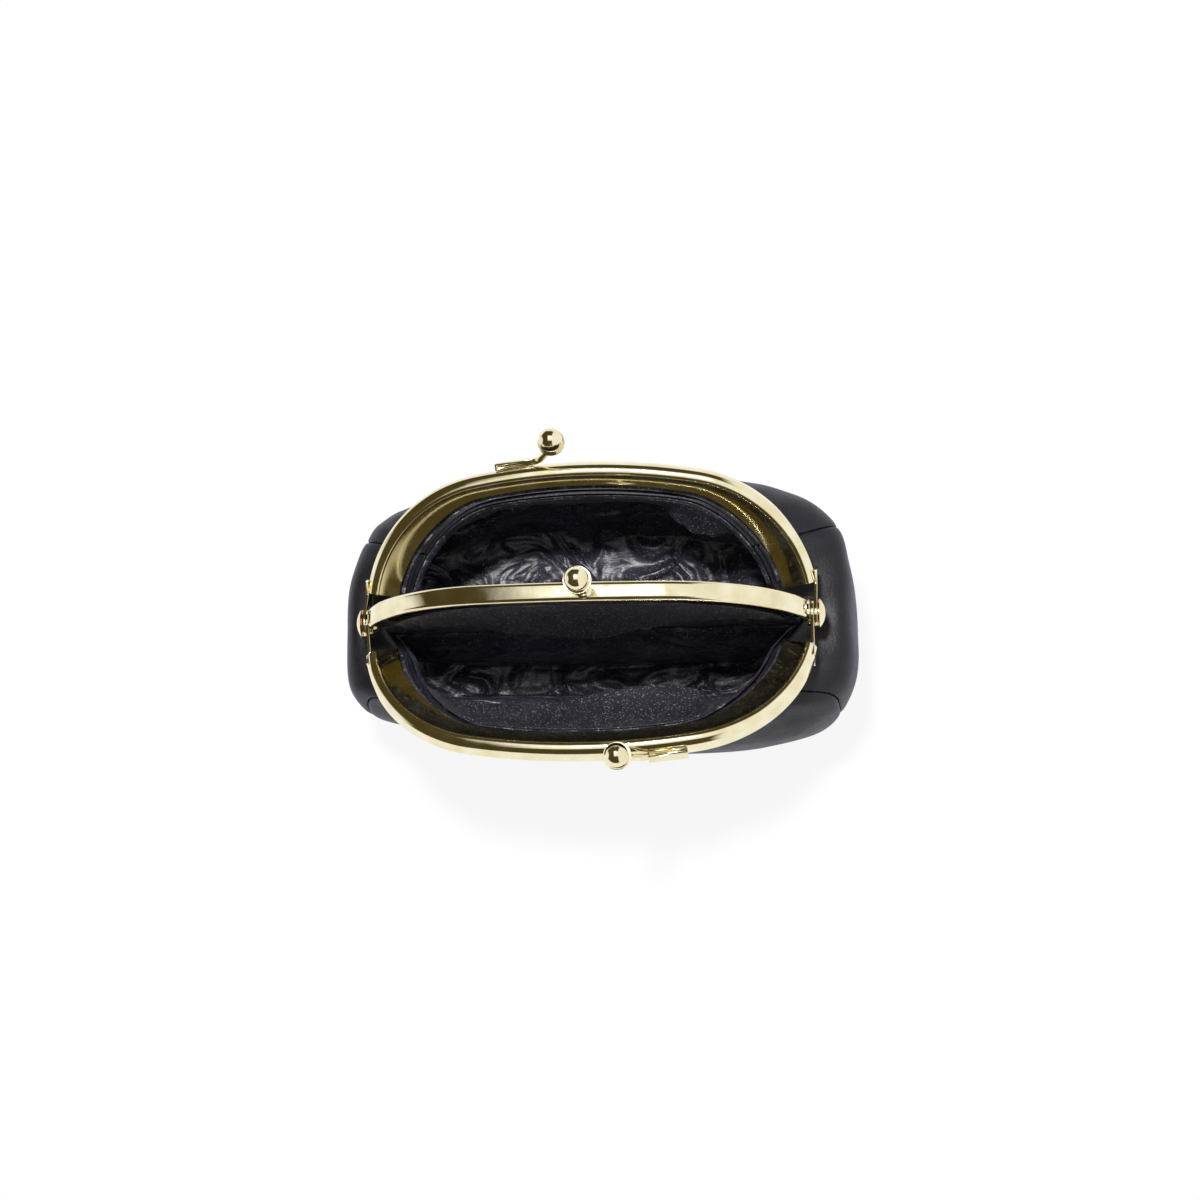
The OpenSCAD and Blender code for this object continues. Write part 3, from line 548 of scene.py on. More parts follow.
def lockHead(prefix, place, body, nodePrefix):
    # ball and cup about the place's origin, with the stem below
    ball = polishedBall(prefix + "BallPolished", place)
    dress(ball, goldMaterial, "pale_gold_plate", body, nodePrefix + "_lock_ball")
    seat = lock["ball"] + lock["fit"]
    rim = -cupBack + lock["cupHeight"]
    turn = [math.radians(a) for a in range(0, 90, 6)]
    inner = [(seat * math.sin(a), -seat * math.cos(a)) for a in turn if -seat * math.cos(a) < rim]
    edge = math.sqrt(seat ** 2 - rim ** 2)
    wide = lock["cup"]
    profile = [(0, -cupBack), (lock["arm"] + 0.5, -cupBack), (wide - 0.2, rim - 0.8), (wide, rim - 0.5),
               (wide, rim - 0.12), (wide - 0.12, rim), (edge, rim)] + inner[::-1]
    cup = turned(prefix + "CupTurned", profile, place, 56)
    dress(cup, goldMaterial, "pale_gold_plate", body, nodePrefix + "_lock_cup")


def wire(name, points, radius):
    # round wire through points (millimetres)
    deselect()
    bpy.ops.curve.primitive_bezier_curve_add()
    piece = bpy.context.object
    piece.name = name
    line = piece.data
    line.splines.clear()
    spline = line.splines.new("POLY")
    spline.points.add(len(points) - 1)
    for p, co in zip(spline.points, points):
        p.co = (*[c * mm for c in co], 1)
    line.dimensions = "3D"
    line.bevel_depth = radius * mm
    line.bevel_resolution = 6
    line.use_fill_caps = True
    pick(piece)
    bpy.ops.object.convert(target="MESH")
    return settle(bpy.context.object, Matrix.Identity(4))


def bendPoints(points, reach=1.3, count=6):
    # rounds each inner point of a line with a short curve
    out = [Vector(points[0])]
    for a, b, c in zip(points, points[1:], points[2:]):
        a, b, c = Vector(a), Vector(b), Vector(c)
        p = b + (a - b).normalized() * min(reach, (a - b).length / 2)
        q = b + (c - b).normalized() * min(reach, (c - b).length / 2)
        for i in range(count + 1):
            t = i / count
            out.append(p.lerp(b, t).lerp(b.lerp(q, t), t))
    out.append(Vector(points[-1]))
    return out


def lockArm(name, x, way, place):
    # clip folded over the web, with a groove along its top, and the bent arm that carries the ball
    footX = x + way * lock["run"]
    long, high, deep = lock["foot"]
    middle = footX + way * long / 2
    webY = archY(outerArch, 0, middle)
    lean = -math.asin(middle / outerArch["crown"])
    behind = lambda d: Vector((x, ballY - math.cos(armTilt) * d, ballZ + math.sin(armTilt) * d))
    heel = (footX + way * lock["heelIn"], webY + high / 2 + lock["heelUp"], purse["frameOffset"])
    bend = (footX - way * lock["bendOut"], elbowY + 0.1, purse["frameOffset"] - 1.0)
    shin = behind(cupBack + lock["shinBack"]) + Vector((way * lock["shinSide"], 0, 0))
    line = [heel, bend, shin, behind(cupBack + lock["arm"] + 0.1), behind(cupBack + lock["fit"])]
    arm = wire(name + "Wire", bendPoints(line), lock["arm"] - lock["armThinner"])
    deselect()
    bpy.ops.mesh.primitive_cube_add(size=1)
    clip = bpy.context.object
    clip.data.transform(Matrix.Diagonal((long * mm, high * mm, deep * mm, 1)))
    bpy.ops.object.mode_set(mode="EDIT")
    bpy.ops.mesh.select_mode(type="FACE")
    bpy.ops.mesh.select_all(action="DESELECT")
    leaveEdit()
    for face in clip.data.polygons:
        face.select = face.normal.z < -0.9
    bpy.ops.object.mode_set(mode="EDIT")
    bpy.ops.mesh.inset(thickness=lock["grooveRim"] * mm, depth=0)
    bpy.ops.mesh.inset(thickness=lock["grooveWall"] * mm, depth=-lock["grooveDepth"] * mm)
    leaveEdit()
    bevelEdges(clip, lock["clipEdge"], 3)
    clipY = webY + high / 2 + lock["seat"]
    turn = Matrix.Translation((middle * mm, clipY * mm, purse["frameOffset"] * mm))
    settle(clip, turn @ Matrix.Rotation(lean, 4, "Z"))
    return smooth(settle(join(name, [clip, arm]), place), 40)


def ballPlace(x):
    there = Matrix.Translation((x * mm, ballY * mm, ballZ * mm))
    return there @ Matrix.Rotation(-math.pi / 2 - armTilt, 4, "X")


for side, x, way, place in (("front", lock["frontX"], 1, frontPlace), ("back", lock["backX"], -1, backPlace)):
    lockHead(side, place @ ballPlace(x), side, side)
    dress(lockArm(side + "ArmBent", x, way, place), goldMaterial, "pale_gold_plate", side, side + "_lock_arm")

centreZ = purse["hingeHeight"] + centreArch["height"] + lock["centreRise"]
lockHead("centre", Matrix.Translation((lock["centreX"] * mm, 0, centreZ * mm)), "bag", "centre")
postFoot = purse["hingeHeight"] + archY(centreArch, 0, lock["centreX"]) + lock["seat"]
postTop = centreZ - cupBack - lock["fit"]
postSide = [(0, postFoot), (lock["postFoot"], postFoot), (lock["postFoot"], postFoot + 0.5),
            (lock["postWaist"], postFoot + 0.8), (lock["arm"], postFoot + 1.6), (lock["arm"], postTop),
            (0, postTop)]
post = turned("centrePostTurned", postSide, Matrix.Translation((lock["centreX"] * mm, 0, 0)))
dress(post, goldMaterial, "pale_gold_plate", "bag", "centre_lock_post")
print("locks made")

# the bag seen from above is a rounded box (power), with its folded notch, seams and rim placed by angle and
# height. Shoulder, belly and hip are how far they lie inside the full width and depth, then their share of
# the hinge's height; foot gives the shares of the way from the base out to the sides instead
bag = {"width": 68.5, "frontDepth": 33.0, "backDepth": 43.0, "draw": 7.5, "baseShare": 0.68, "power": 3.4,
       "notch": 9.0, "notchAngle": 18.0, "seamAngle": 27.0, "seamHeight": 17.0, "seamGap": 0.15,
       "rimInset": 10.2, "rimStart": 7.0, "leather": 1.2, "lining": 0.5, "liningDepth": 1.6,
       "hemThickness": 1.15, "floor": 20.0, "pouchDraw": 12.0, "baseRow": 6, "notchX": 1.0, "lipOut": 3.4,
       "lipDown": 0.8, "notchOut": 2.6, "notchDown": 1.6, "shoulder": (3.4, 3.0, 0.8),
       "belly": (0.0, 0.0, 0.58), "hip": (1.5, 1.5, 0.3), "foot": (0.45, 0.4, 0.08),
       "cornerDraw": 3.2, "cornerAngle": 229.0, "cornerSpread": 24.0}  # the front left corner is slack


def sign(v):
    return -1.0 if v < 0 else 1.0


def power(v, p):
    return sign(v) * abs(v) ** p


def mix(a, b, t):
    return a + (b - a) * t


def level(a, x, y, z):
    return Vector((x * power(math.cos(a), 2 / bag["power"]), y * power(math.sin(a), 2 / bag["power"]), z))


def leaned(a, x, up, out):
    back = math.sin(a) >= 0
    o = math.radians(purse["backOpen"] if back else purse["frontOpen"])
    way = 1 if back else -1
    return Vector((x, way * (up * math.sin(o) + out * math.cos(o)),
                   purse["hingeHeight"] + up * math.cos(o) - out * math.sin(o)))


def foldAngle(a):
    return math.degrees(math.asin(min(1.0, abs(math.sin(a)))))


def rimUp(x):
    cx = archCentres(outerArch)[0]
    if abs(x) <= cx:
        return 1.0
    return math.sqrt(1 - ((abs(x) - cx) / (outerArch["shoulder"] - bag["rimInset"])) ** 2)


seamX = archX(outerArch, bag["rimInset"], bag["seamHeight"])
seamShare = crownShare(rimUp(seamX))


def rimPoint(a):
    f = foldAngle(a)
    if f < bag["seamAngle"]:
        s = max(0.0, (f - bag["notchAngle"]) / (bag["seamAngle"] - bag["notchAngle"]))
        up = bag["rimStart"] + s * (bag["seamHeight"] - bag["rimStart"])
        return up, archX(outerArch, bag["rimInset"], up)
    ratio = math.cos(math.radians(f)) / math.cos(math.radians(bag["seamAngle"]))
    x = seamX * power(ratio, 2 / bag["power"])
    rise = max(0.0, crownShare(rimUp(x)) - seamShare) / (1 - seamShare)
    return archY(outerArch, bag["rimInset"], x) + purse["crownRise"] * rise, x


def skinRows(a):
    up, x = rimPoint(a)
    side = sign(math.cos(a))
    share = min(1.0, foldAngle(a) / bag["notchAngle"])
    out = purse["frameOffset"] + bag["hemThickness"]
    notchX = ears["centre"] - bag["notchX"]
    notchZ = purse["hingeHeight"] - bag["notch"]
    rim = Vector((side * notchX, 0, notchZ)).lerp(leaned(a, side * x, up, out), share)
    lipEnd = leaned(a, side * (x + bag["lipDown"]), up - bag["lipDown"], out + bag["lipOut"])
    lip = Vector((side * (notchX + bag["notchOut"]), 0, notchZ - bag["notchDown"])).lerp(lipEnd, share)
    h, width = purse["hingeHeight"], bag["width"]
    depth = bag["backDepth"] if math.sin(a) >= 0 else bag["frontDepth"]
    baseX, baseY = width - bag["draw"], bag["baseShare"] * depth
    turn = math.degrees(a) % 360
    slack = bag["cornerDraw"] * math.exp(-((turn - bag["cornerAngle"]) / bag["cornerSpread"]) ** 2)
    width -= slack
    depth -= slack
    rings = [level(a, width - inX, depth - inY, h * share)
             for inX, inY, share in (bag["shoulder"], bag["belly"], bag["hip"])]
    outX, outY, share = bag["foot"]
    foot = level(a, mix(baseX, width, outX), mix(baseY, depth, outY), h * share)
    return [rim, lip, *rings, foot, level(a, baseX, baseY, bag["leather"] + 0.1)]


def throughRows(rows, t):
    # smooth curve (Catmull-Rom) through the rows
    n = len(rows) - 1
    i = min(n - 1, int(t))
    f = t - i
    a, b, c, e = rows[max(0, i - 1)], rows[i], rows[i + 1], rows[min(n, i + 2)]
    bend = (2 * a - 5 * b + 4 * c - e) * f * f
    return 0.5 * (2 * b + (c - a) * f + bend + (3 * b - a - 3 * c + e) * f * f * f)


rowsAt = {}


def rowsFor(a):
    key = round(a, 6)
    if key not in rowsAt:
        rowsAt[key] = skinRows(a)
    return rowsAt[key]


def skin(degrees, t, depth):
    # point of the bag at an angle round it (0 right, 90 back) and row t (0 rim, 6 base edge), at a depth
    # under the outer face
    a = math.radians(degrees)
    e, d, last = math.radians(0.5), 0.05, bag["baseRow"]
    here = throughRows(rowsFor(a), t)
    around = throughRows(rowsFor(a + e), t) - throughRows(rowsFor(a - e), t)
    down = throughRows(rowsFor(a), min(last, t + d)) - throughRows(rowsFor(a), max(0, t - d))
    return here + around.cross(down).normalized() * depth


def hang(t):
    # how far the pouch hangs inside the leather, growing from row 1.5 to row 3.5
    s = min(1.0, max(0.0, (t - 1.5) / 2))
    return bag["pouchDraw"] * s * s * (3 - 2 * s)


cuts = {}


def cutSize(piece, columns, rows):
    # longest row, longest column and area of a cloth grid, in metres
    at = [vertex.co for vertex in piece.data.vertices]
    wide = columns + 1
    step = lambda i, j: (at[j] - at[i]).length
    along = [sum(step(r * wide + c, r * wide + c + 1) for c in range(columns)) for r in range(rows + 1)]
    down = [sum(step(r * wide + c, (r + 1) * wide + c) for r in range(rows)) for c in range(wide)]
    return (max(along), max(down)), sum(face.area for face in piece.data.polygons)


def clothGrid(name, columns, rows, where):
    # a grid whose vertices are laid on where(u, v), u and v from 0 to 1
    deselect()
    bpy.ops.mesh.primitive_grid_add(x_subdivisions=columns, y_subdivisions=rows, size=2, calc_uvs=True)
    piece = bpy.context.object
    piece.name = name
    for vertex in piece.data.vertices:
        vertex.co = where((vertex.co.x + 1) / 2, (1 - vertex.co.y) / 2) * mm
    cuts[name] = cutSize(piece, columns, rows)
    return piece


def declareSheet(piece, slack=0.0):
    # prints the size of a cloth piece's cut: the size that its grid had before it hung, grown by its slack
    (wide, long), area = cuts[piece.name]
    grown = 1 + slack
    wide, long, area = wide * grown, long * grown, area * grown ** 2
    print(piece.name, "cut to", round(wide / mm), "x", round(long / mm), "mm,", round(area * 1e4, 1), "cm2")


def thicken(piece, thickness, offset=-1.0):
    modify(piece, "SOLIDIFY", thickness=thickness * mm, offset=offset, use_even_offset=False)
    modify(piece, "SUBSURF", levels=1, render_levels=1)
    applyModifiers(piece)
    return smooth(piece, 50)


def wall(name, start, stop, columns, first, last, rows, depth, thickness, shape, crowd=1.0, forward=True):
    # crowd gathers the columns towards the start, where the bag's plan turns most
    def where(u, v):
        degrees = start + (stop - start) * (u if forward else 1 - u) ** crowd
        end = last(degrees) if callable(last) else last
        t = first + (end - first) * v
        return skin(degrees, t, depth + shape(degrees, t))
    return thicken(clothGrid(name, columns, rows, where), thickness)


def bell(v, middle, width):
    return math.exp(-((v - middle) / width) ** 2)


leather = {"seamDip": 0.36, "seamWidth": 1.6, "pucker": 0.45, "puckerRow": 1.6, "puckerRows": 0.9,
           "gathers": 24, "sag": 1.3, "waves": 2.2, "waveRows": 0.7, "frontDraw": 1.2}


def leatherShape(degrees, t):
    # seams draw in, the gathers under the lips fade downwards, and the sides sag in soft waves
    a = math.radians(degrees)
    body = min(1.0, max(0.0, (t - 0.7) / 1.5))
    seam = bell(foldAngle(a), bag["seamAngle"], leather["seamWidth"]) * min(1.0, max(0.0, (t - 1.2) / 2))
    gather = math.sin(a * leather["gathers"] + 2 * math.sin(a * 5)) * bell(t, leather["puckerRow"],
                                                                           leather["puckerRows"])
    across, down = leather["waves"], leather["waveRows"]
    wave = noise.noise(Vector((math.cos(a) * across, math.sin(a) * across, t * down)))
    front = leather["frontDraw"] * max(0.0, -math.sin(a)) ** 3
    pucker = 0.5 * leather["pucker"] * (1 + gather)
    return body * (leather["seamDip"] * seam + front + pucker + leather["sag"] * wave)


def folds(piece):
    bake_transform(piece)


seam, gap, last = bag["seamAngle"], bag["seamGap"], bag["baseRow"]
halfOverlap = 0.25  # degrees that each gusset half runs past the middle
for side, low in (("front", 180), ("back", 0)):
    panel = wall(side + "PanelLeather", low + seam + gap, low + 180 - seam - gap, 90, 0, last, 48, 0,
                 bag["leather"], leatherShape)
    dress(panel, leatherMaterial, "black_leather", None, side + "_panel")
    folds(panel)
for side, middle in (("right", 0), ("left", 180)):
    for face, way in (("Front", -1 if middle == 0 else 1), ("Back", 1 if middle == 0 else -1)):
        half = wall(side + "Gusset" + face, middle - way * halfOverlap, middle + way * seam, 30, 0, last, 48,
                    0, bag["leather"], leatherShape, 1.7, way > 0)
        dress(half, leatherMaterial, "black_leather", None, side + "_gusset")
        folds(half)
print("leather made")

# facing bands: they hang from the lips, and their free lower edges swing inwards. The edges are points seen
# from above (along the hinge line, distance from it), read off the photograph and set at the edge's height
facing = {"depth": 2.2, "foot": 55.0, "narrow": 0.94, "footWave": 0.8, "pleat": 0.16, "finePleat": 0.1,
          "bow": (0.3, 0.55),
          "frontEdge": [(-46, 17), (-39, 18), (-34, 20.3), (-18.6, 21.4), (-9, 20.8), (-3, 19.4), (4, 18.2),
                        (13, 16.8), (18, 16.6), (25, 17.6), (32, 20), (38, 21.7), (41, 21.3), (46, 16)],
          "backEdge": [(-46, 24), (-40, 27.4), (-34.7, 26.9), (-28.3, 28.9), (-23.5, 31.6), (-13, 32),
                       (10, 32.2), (15.7, 31.8), (19, 30.4), (20.6, 28), (23, 25.5), (27, 23), (31.6, 22.1),
                       (36.5, 22.7), (46, 25)]}


def onEdge(edge, x):
    # soft step through the edge's points
    for (x0, y0), (x1, y1) in zip(edge, edge[1:]):
        if x <= x1:
            f = min(1.0, max(0.0, (x - x0) / (x1 - x0)))
            return mix(y0, y1, f * f * (3 - 2 * f))
    return edge[-1][1]


def facingBand(side, low):
    way = 1 if low == 0 else -1

    def where(u, v):
        top = skin(low + seam + (180 - 2 * seam) * u, 0.0, facing["depth"])
        x = top.x * facing["narrow"]
        pleat = facing["pleat"] * math.sin(x * 1.1) + facing["finePleat"] * math.sin(x * 2.3 + 1)
        foot = Vector((x, way * (onEdge(facing[side + "Edge"], x) + pleat),
                       facing["foot"] + facing["footWave"] * math.sin(x * 0.35)))
        outward, down = facing["bow"]
        bow = Vector((top.x, mix(top.y, foot.y, outward), mix(top.z, foot.z, down)))
        return top.lerp(bow, v).lerp(bow.lerp(foot, v), v)
    return thicken(clothGrid(side + "FacingCloth", 120, 18, where), bag["lining"], 0.0)


for side, low in (("front", 180), ("back", 0)):
    band = facingBand(side, low)
    dress(band, facingMaterial, "facing_cloth", None, side + "_facing")
    folds(band)
    declareSheet(band)

# shares of the cloth's width and height, then rows of the bag, then millimetres: a move is kept under reach
pouch = {"wallShare": 0.64, "floorFrom": 0.78, "floorMiddle": 12.0, "floorNarrow": 0.62, "floorClosed": 0.97,
         "rows": 4.0, "held": 1.55, "free": 2.2, "divider": 0.95, "slack": 0.11, "reach": 5.5, "frames": 30,
         "columns": 140, "lines": 52}


def pouchPoint(low, u, v, depth):
    # outer wall from seam to seam, back across the divider, and a floor that closes in to the middle line
    way = 1 if low == 0 else -1
    t = pouch["rows"] * min(1.0, v / pouch["floorFrom"])

    def at(degrees):
        p = skin(degrees, t, depth + hang(t))
        z = mix(p.z, bag["floor"], min(1.0, max(0.0, t - 3)))
        return Vector((p.x, way * max(abs(p.y), pouch["divider"]), z))
    if u < pouch["wallShare"]:
        p = at(low + 180 * u / pouch["wallShare"])
    else:
        p = at(low + 180).lerp(at(low), (u - pouch["wallShare"]) / (1 - pouch["wallShare"]))
        p.y = way * pouch["divider"]
    inner = max(0.0, (v - pouch["floorFrom"]) / (1 - pouch["floorFrom"])) * pouch["floorClosed"]
    return p.lerp(Vector((p.x * pouch["floorNarrow"], way * pouch["floorMiddle"], bag["floor"])), inner)


def heldWeight(u, v):
    # 1 where the cloth is held by the frame or the divider, 0 where it hangs free
    t = pouch["rows"] * v / pouch["floorFrom"]
    if u < pouch["wallShare"]:
        return min(1.0, max(0.0, (pouch["free"] - t) / (pouch["free"] - pouch["held"])))
    return 1.0 if t < 0.15 else 0.0


def drape(piece, weights, way):
    # lets the sewn cloth hang: it is a little too large for its place, so it settles into folds
    start = [vertex.co.copy() for vertex in piece.data.vertices]
    held = piece.vertex_groups.new(name="held")
    for index, weight in enumerate(weights):
        held.add([index], weight, "REPLACE")
    cloth = piece.modifiers.new("Hanging", "CLOTH")
    how = cloth.settings
    how.quality = 6
    how.mass = 0.002
    how.tension_stiffness = how.compression_stiffness = 12
    how.shear_stiffness = 4
    how.bending_stiffness = 0.02
    how.air_damping = 1.5
    how.vertex_group_mass = "held"
    how.shrink_min = -pouch["slack"]
    cloth.collision_settings.use_collision = False
    cloth.point_cache.frame_end = pouch["frames"]
    for step in range(1, pouch["frames"] + 1):
        bpy.context.scene.frame_set(step)
    hung = piece.evaluated_get(bpy.context.evaluated_depsgraph_get()).data
    settled = [vertex.co.copy() for vertex in hung.vertices]
    piece.modifiers.remove(cloth)
    bpy.context.scene.frame_set(1)
    reach = pouch["reach"] * mm
    for vertex, before, after in zip(piece.data.vertices, start, settled):
        move = after - before
        if move.length > 0:
            move *= reach * math.tanh(move.length / reach) / move.length
        vertex.co = before + move
        vertex.co.y = way * max(way * vertex.co.y, pouch["divider"] * mm)


linings = {}
for side, low in (("front", 180), ("back", 0)):
    columns, rows = pouch["columns"], pouch["lines"]

    def where(u, v):
        return pouchPoint(low, u, v, bag["liningDepth"] + bag["lining"] / 2)
    lining = clothGrid(side + "LiningSatin", columns, rows, where)
    group = lining.vertex_groups.new(name="marks")
    for vertex in lining.data.vertices:
        row, column = divmod(vertex.index, columns + 1)
        group.add([vertex.index], heldWeight(column / columns, 1 - row / rows), "REPLACE")
    editAll(lining)
    bpy.ops.mesh.select_all(action="DESELECT")
    leaveEdit()
    for vertex in lining.data.vertices:
        vertex.select = vertex.index <= columns  # the row round the middle of the floor
    bpy.ops.object.mode_set(mode="EDIT")
    bpy.ops.mesh.edge_face_add()
    bpy.ops.mesh.select_all(action="SELECT")
    bpy.ops.mesh.remove_doubles(threshold=weld)
    bpy.ops.mesh.normals_make_consistent(inside=False)
    leaveEdit()
    weights = [vertex.groups[0].weight if vertex.groups else 0.0 for vertex in lining.data.vertices]
    drape(lining, weights, 1 if low == 0 else -1)
    lining.vertex_groups.clear()
    linings[side] = lining
print("linings hung")

# half its width in degrees round the bag, its first and last rows, and the hem's share of its height
pocket = {"half": 31.5, "first": 2.0, "last": 3.5, "hem": 0.28, "stand": 0.75, "gape": 0.8, "roll": 0.45,
          "stitch": 0.15}


def pocketPoint(u, v):
    degrees = 90 - pocket["half"] + 2 * pocket["half"] * u
    t = mix(pocket["first"] + 0.06 * math.sin(u * 19) + 0.05 * math.sin(u * 31), pocket["last"], v)
    p = skin(degrees, t, facing["depth"] + hang(t)) * mm
    place, normal = linings["back"].closest_point_on_mesh(p)[1:3]
    if normal.dot(Vector((0, -1, 0.3))) < 0:
        normal = -normal
    roll = pocket["roll"] * bell(v, pocket["hem"] * 0.5, pocket["hem"] * 0.5)
    roll -= pocket["stitch"] * bell(v, pocket["hem"] * 1.15, 0.04)
    stand = pocket["stand"] + pocket["gape"] * (1 - v) * (0.5 + 0.5 * math.sin(u * 23 + 1)) + roll
    return (place + normal * stand * mm) / mm


slip = clothGrid("backSlipPocketSatin", 90, 30, pocketPoint)
thicken(slip, bag["lining"], 0.0)
dress(slip, satinMaterial, "satin_lining", None, "back_slip_pocket")
folds(slip)
declareSheet(slip)
for side, lining in linings.items():
    thicken(lining, bag["lining"], 0.0)
    dress(lining, satinMaterial, "satin_lining", None, side + "_lining")
    folds(lining)
    declareSheet(lining, pouch["slack"])
print("slip pocket made")


def plateShape(inset, count=72):
    points = []
    for i in range(count):
        a = math.tau * i / count
        depth = bag["baseShare"] * (bag["backDepth"] if math.sin(a) >= 0 else bag["frontDepth"])
        points.append(tuple(level(a, bag["width"] - bag["draw"] - inset, depth - inset, 0))[:2])
    return points


card = {"inset": 4.2, "thickness": 1.6, "height": 1.3}
base = smooth(plate("baseLeather", plateShape(0), bag["leather"], Matrix.Identity(4), 0.3), 40)
dress(base, leatherMaterial, "black_leather", "bag", "base_panel")
board = plate("baseCard", plateShape(card["inset"]), card["thickness"],
              Matrix.Translation((0, 0, card["height"] * mm)), 0.2)
dress(board, cardMaterial, "base_card", "bag", "base_board")

dividerSize = {"thickness": 1.6, "top": 3.0, "depth": 2.2, "facing": 0.45, "facingFoot": 62.0,
               "edge": [(-50, 0.4), (-30, 0.6), (-20, 2.6), (-10, 3.8), (3, 4.3), (14, 2.2), (27, 0.4),
                        (50, 0.4)]}


def dividerTop(x):
    return archY(centreArch, dividerSize["top"], x)


def dividerOutline():
    side = [skin(0, t / 4, dividerSize["depth"] + hang(t / 4)) for t in range(0, 25)]
    side = [(p.x, p.z - purse["hingeHeight"]) for p in side if p.z > bag["floor"] + bag["lining"]]
    topX = archX(centreArch, dividerSize["top"], centreArch["legStart"]) - 0.3
    arch = [topX * math.sin(math.radians(90 * i / 24)) for i in range(-24, 25)]
    arch = [(x, dividerTop(x)) for x in arch]
    foot = bag["floor"] - purse["hingeHeight"]
    return arch + side + [(side[-1][0], foot), (-side[-1][0], foot)] + [(-x, z) for x, z in side[::-1]]


divider = plate("dividerPadded", dividerOutline(), dividerSize["thickness"],
                centrePlace @ Matrix.Translation((0, 0, -dividerSize["thickness"] / 2 * mm)), 0.4, 3)
dress(smooth(divider, 40), satinMaterial, "padded_divider", "bag", "divider")


def dividerFacing(name, way):
    # facing cloth that hangs from the centre channel down the divider, with a free wavy edge
    topX = archX(centreArch, dividerSize["top"], centreArch["legStart"]) - 1.2

    def where(u, v):
        x = topX * math.sin(math.radians(90 * (2 * u - 1) * 0.98))
        foot = dividerSize["facingFoot"] + 0.8 * math.sin(u * 9 + 0.5) + 0.5 * math.sin(u * 21)
        top = purse["hingeHeight"] + dividerTop(x)
        z = mix(top, min(foot, top - 1), v)
        swing = onEdge(dividerSize["edge"], x) if way < 0 else 1.0
        y = way * (dividerSize["thickness"] / 2 + 0.35 + v * v * (swing + 0.3 * math.sin(x * 1.3)))
        return Vector((x, y, z))
    piece = clothGrid(name, 90, 16, where)
    return thicken(piece, dividerSize["facing"], 0.0)


for name, way in (("dividerFacingFront", -1), ("dividerFacingBack", 1)):
    cover = dividerFacing(name, way)
    dress(cover, facingMaterial, "facing_cloth", "bag", "divider")
    declareSheet(cover)

hem = {"top": 3.8, "bottom": 9.7, "leather": 1.15, "lining": 1.0, "start": 8.5}
cord = {"radius": 1.4, "inset": 2.3, "start": 10.7, "centreRadius": 1.0, "centreInset": 1.9,
        "centreStart": 10.5, "lay": 9.0, "strands": 3}
for side, place in (("front", frontPlace), ("back", backPlace)):
    for kind, v, t, material, slot in (
            ("Leather", 0.05, hem["leather"], leatherMaterial, "black_leather"),
            ("Lining", -0.05 - hem["lining"], hem["lining"], satinMaterial, "satin_lining")):
        section = [(-hem["bottom"], v), (-hem["top"], v), (-hem["top"], v + t), (-hem["bottom"], v + t)]
        strip = alongArch(side + kind + "Edge", outerArch, section, hem["start"], purse["frameOffset"])
        raiseLip(strip, outerArch, hem["top"], hem["bottom"])
        smooth(settle(strip, place), 40)
        dress(strip, material, slot, side, side + "_" + kind.lower() + "_hem")
print("edges made")


def paperCord(name, arch, radius, inset, start, offset, place):
    # three paper strands laid into a cord: the lobes of the section turn as it goes along
    turn = [math.tau * i / 18 for i in range(18)]
    lobe = [radius * (0.94 + 0.06 * math.cos(cord["strands"] * t)) for t in turn]
    section = [(-inset + r * math.cos(t), r * math.sin(t)) for r, t in zip(lobe, turn)]
    piece = alongArch(name, arch, section, start, offset)
    for vertex in piece.data.vertices:
        x, y, z = vertex.co / mm
        away, out = onArch(arch, x, y)
        twist = math.tau * (math.atan2(away.x, away.y) * arch["shoulder"] + x) / 2 / cord["lay"]
        local = Vector((out + inset, z - offset))
        shift = Matrix.Rotation(twist, 2) @ local - local
        vertex.co += Vector((away.x * shift.x, away.y * shift.x, shift.y)) * mm
    return smooth(settle(piece, place), 60)


for name, node, arch, radius, inset, start, offset, place, body in (
        ("frontCordTwisted", "front_paper_cord", outerArch, cord["radius"], cord["inset"], cord["start"],
         purse["frameOffset"], frontPlace, "front"),
        ("backCordTwisted", "back_paper_cord", outerArch, cord["radius"], cord["inset"], cord["start"],
         purse["frameOffset"], backPlace, "back"),
        ("centreCordTwisted", "centre_paper_cord", centreArch, cord["centreRadius"], cord["centreInset"],
         cord["centreStart"], 0.0, centrePlace, "bag")):
    dress(paperCord(name, arch, radius, inset, start, offset, place), kraftMaterial, "paper_cord", body, node)
print("cords made")

# the floor is white to the camera and in reflections, and still takes the purse's shadow
floor = {"size": 6.0, "paper": "#F4F4F4", "glowShare": 0.9}
deselect()
bpy.ops.mesh.primitive_plane_add(size=floor["size"], location=(0, 0, 0))
ground = bpy.context.object
ground.name = "ground"
material, tree = newMaterial("whiteSweep")
rays = addNode(tree, "ShaderNodeLightPath")
paper = addNode(tree, "ShaderNodeBsdfDiffuse", {"Color": linear(floor["paper"])})
glow = addNode(tree, "ShaderNodeEmission", {"Color": (1, 1, 1, 1), "Strength": 1.0})
either = addNode(tree, "ShaderNodeMath", {"operation": "MAXIMUM"},
                 {0: rays.outputs["Is Camera Ray"], 1: rays.outputs["Is Glossy Ray"]})
seen = addNode(tree, "ShaderNodeMath", {"operation": "MULTIPLY", 1: floor["glowShare"]},
               {0: either.outputs["Value"]})
mixed = addNode(tree, "ShaderNodeMixShader", links={0: seen.outputs["Value"], 1: paper.outputs["BSDF"],
                                                    2: glow.outputs["Emission"]})
addNode(tree, "ShaderNodeOutputMaterial", links={"Surface": mixed.outputs["Shader"]})
ground.data.materials.append(material)

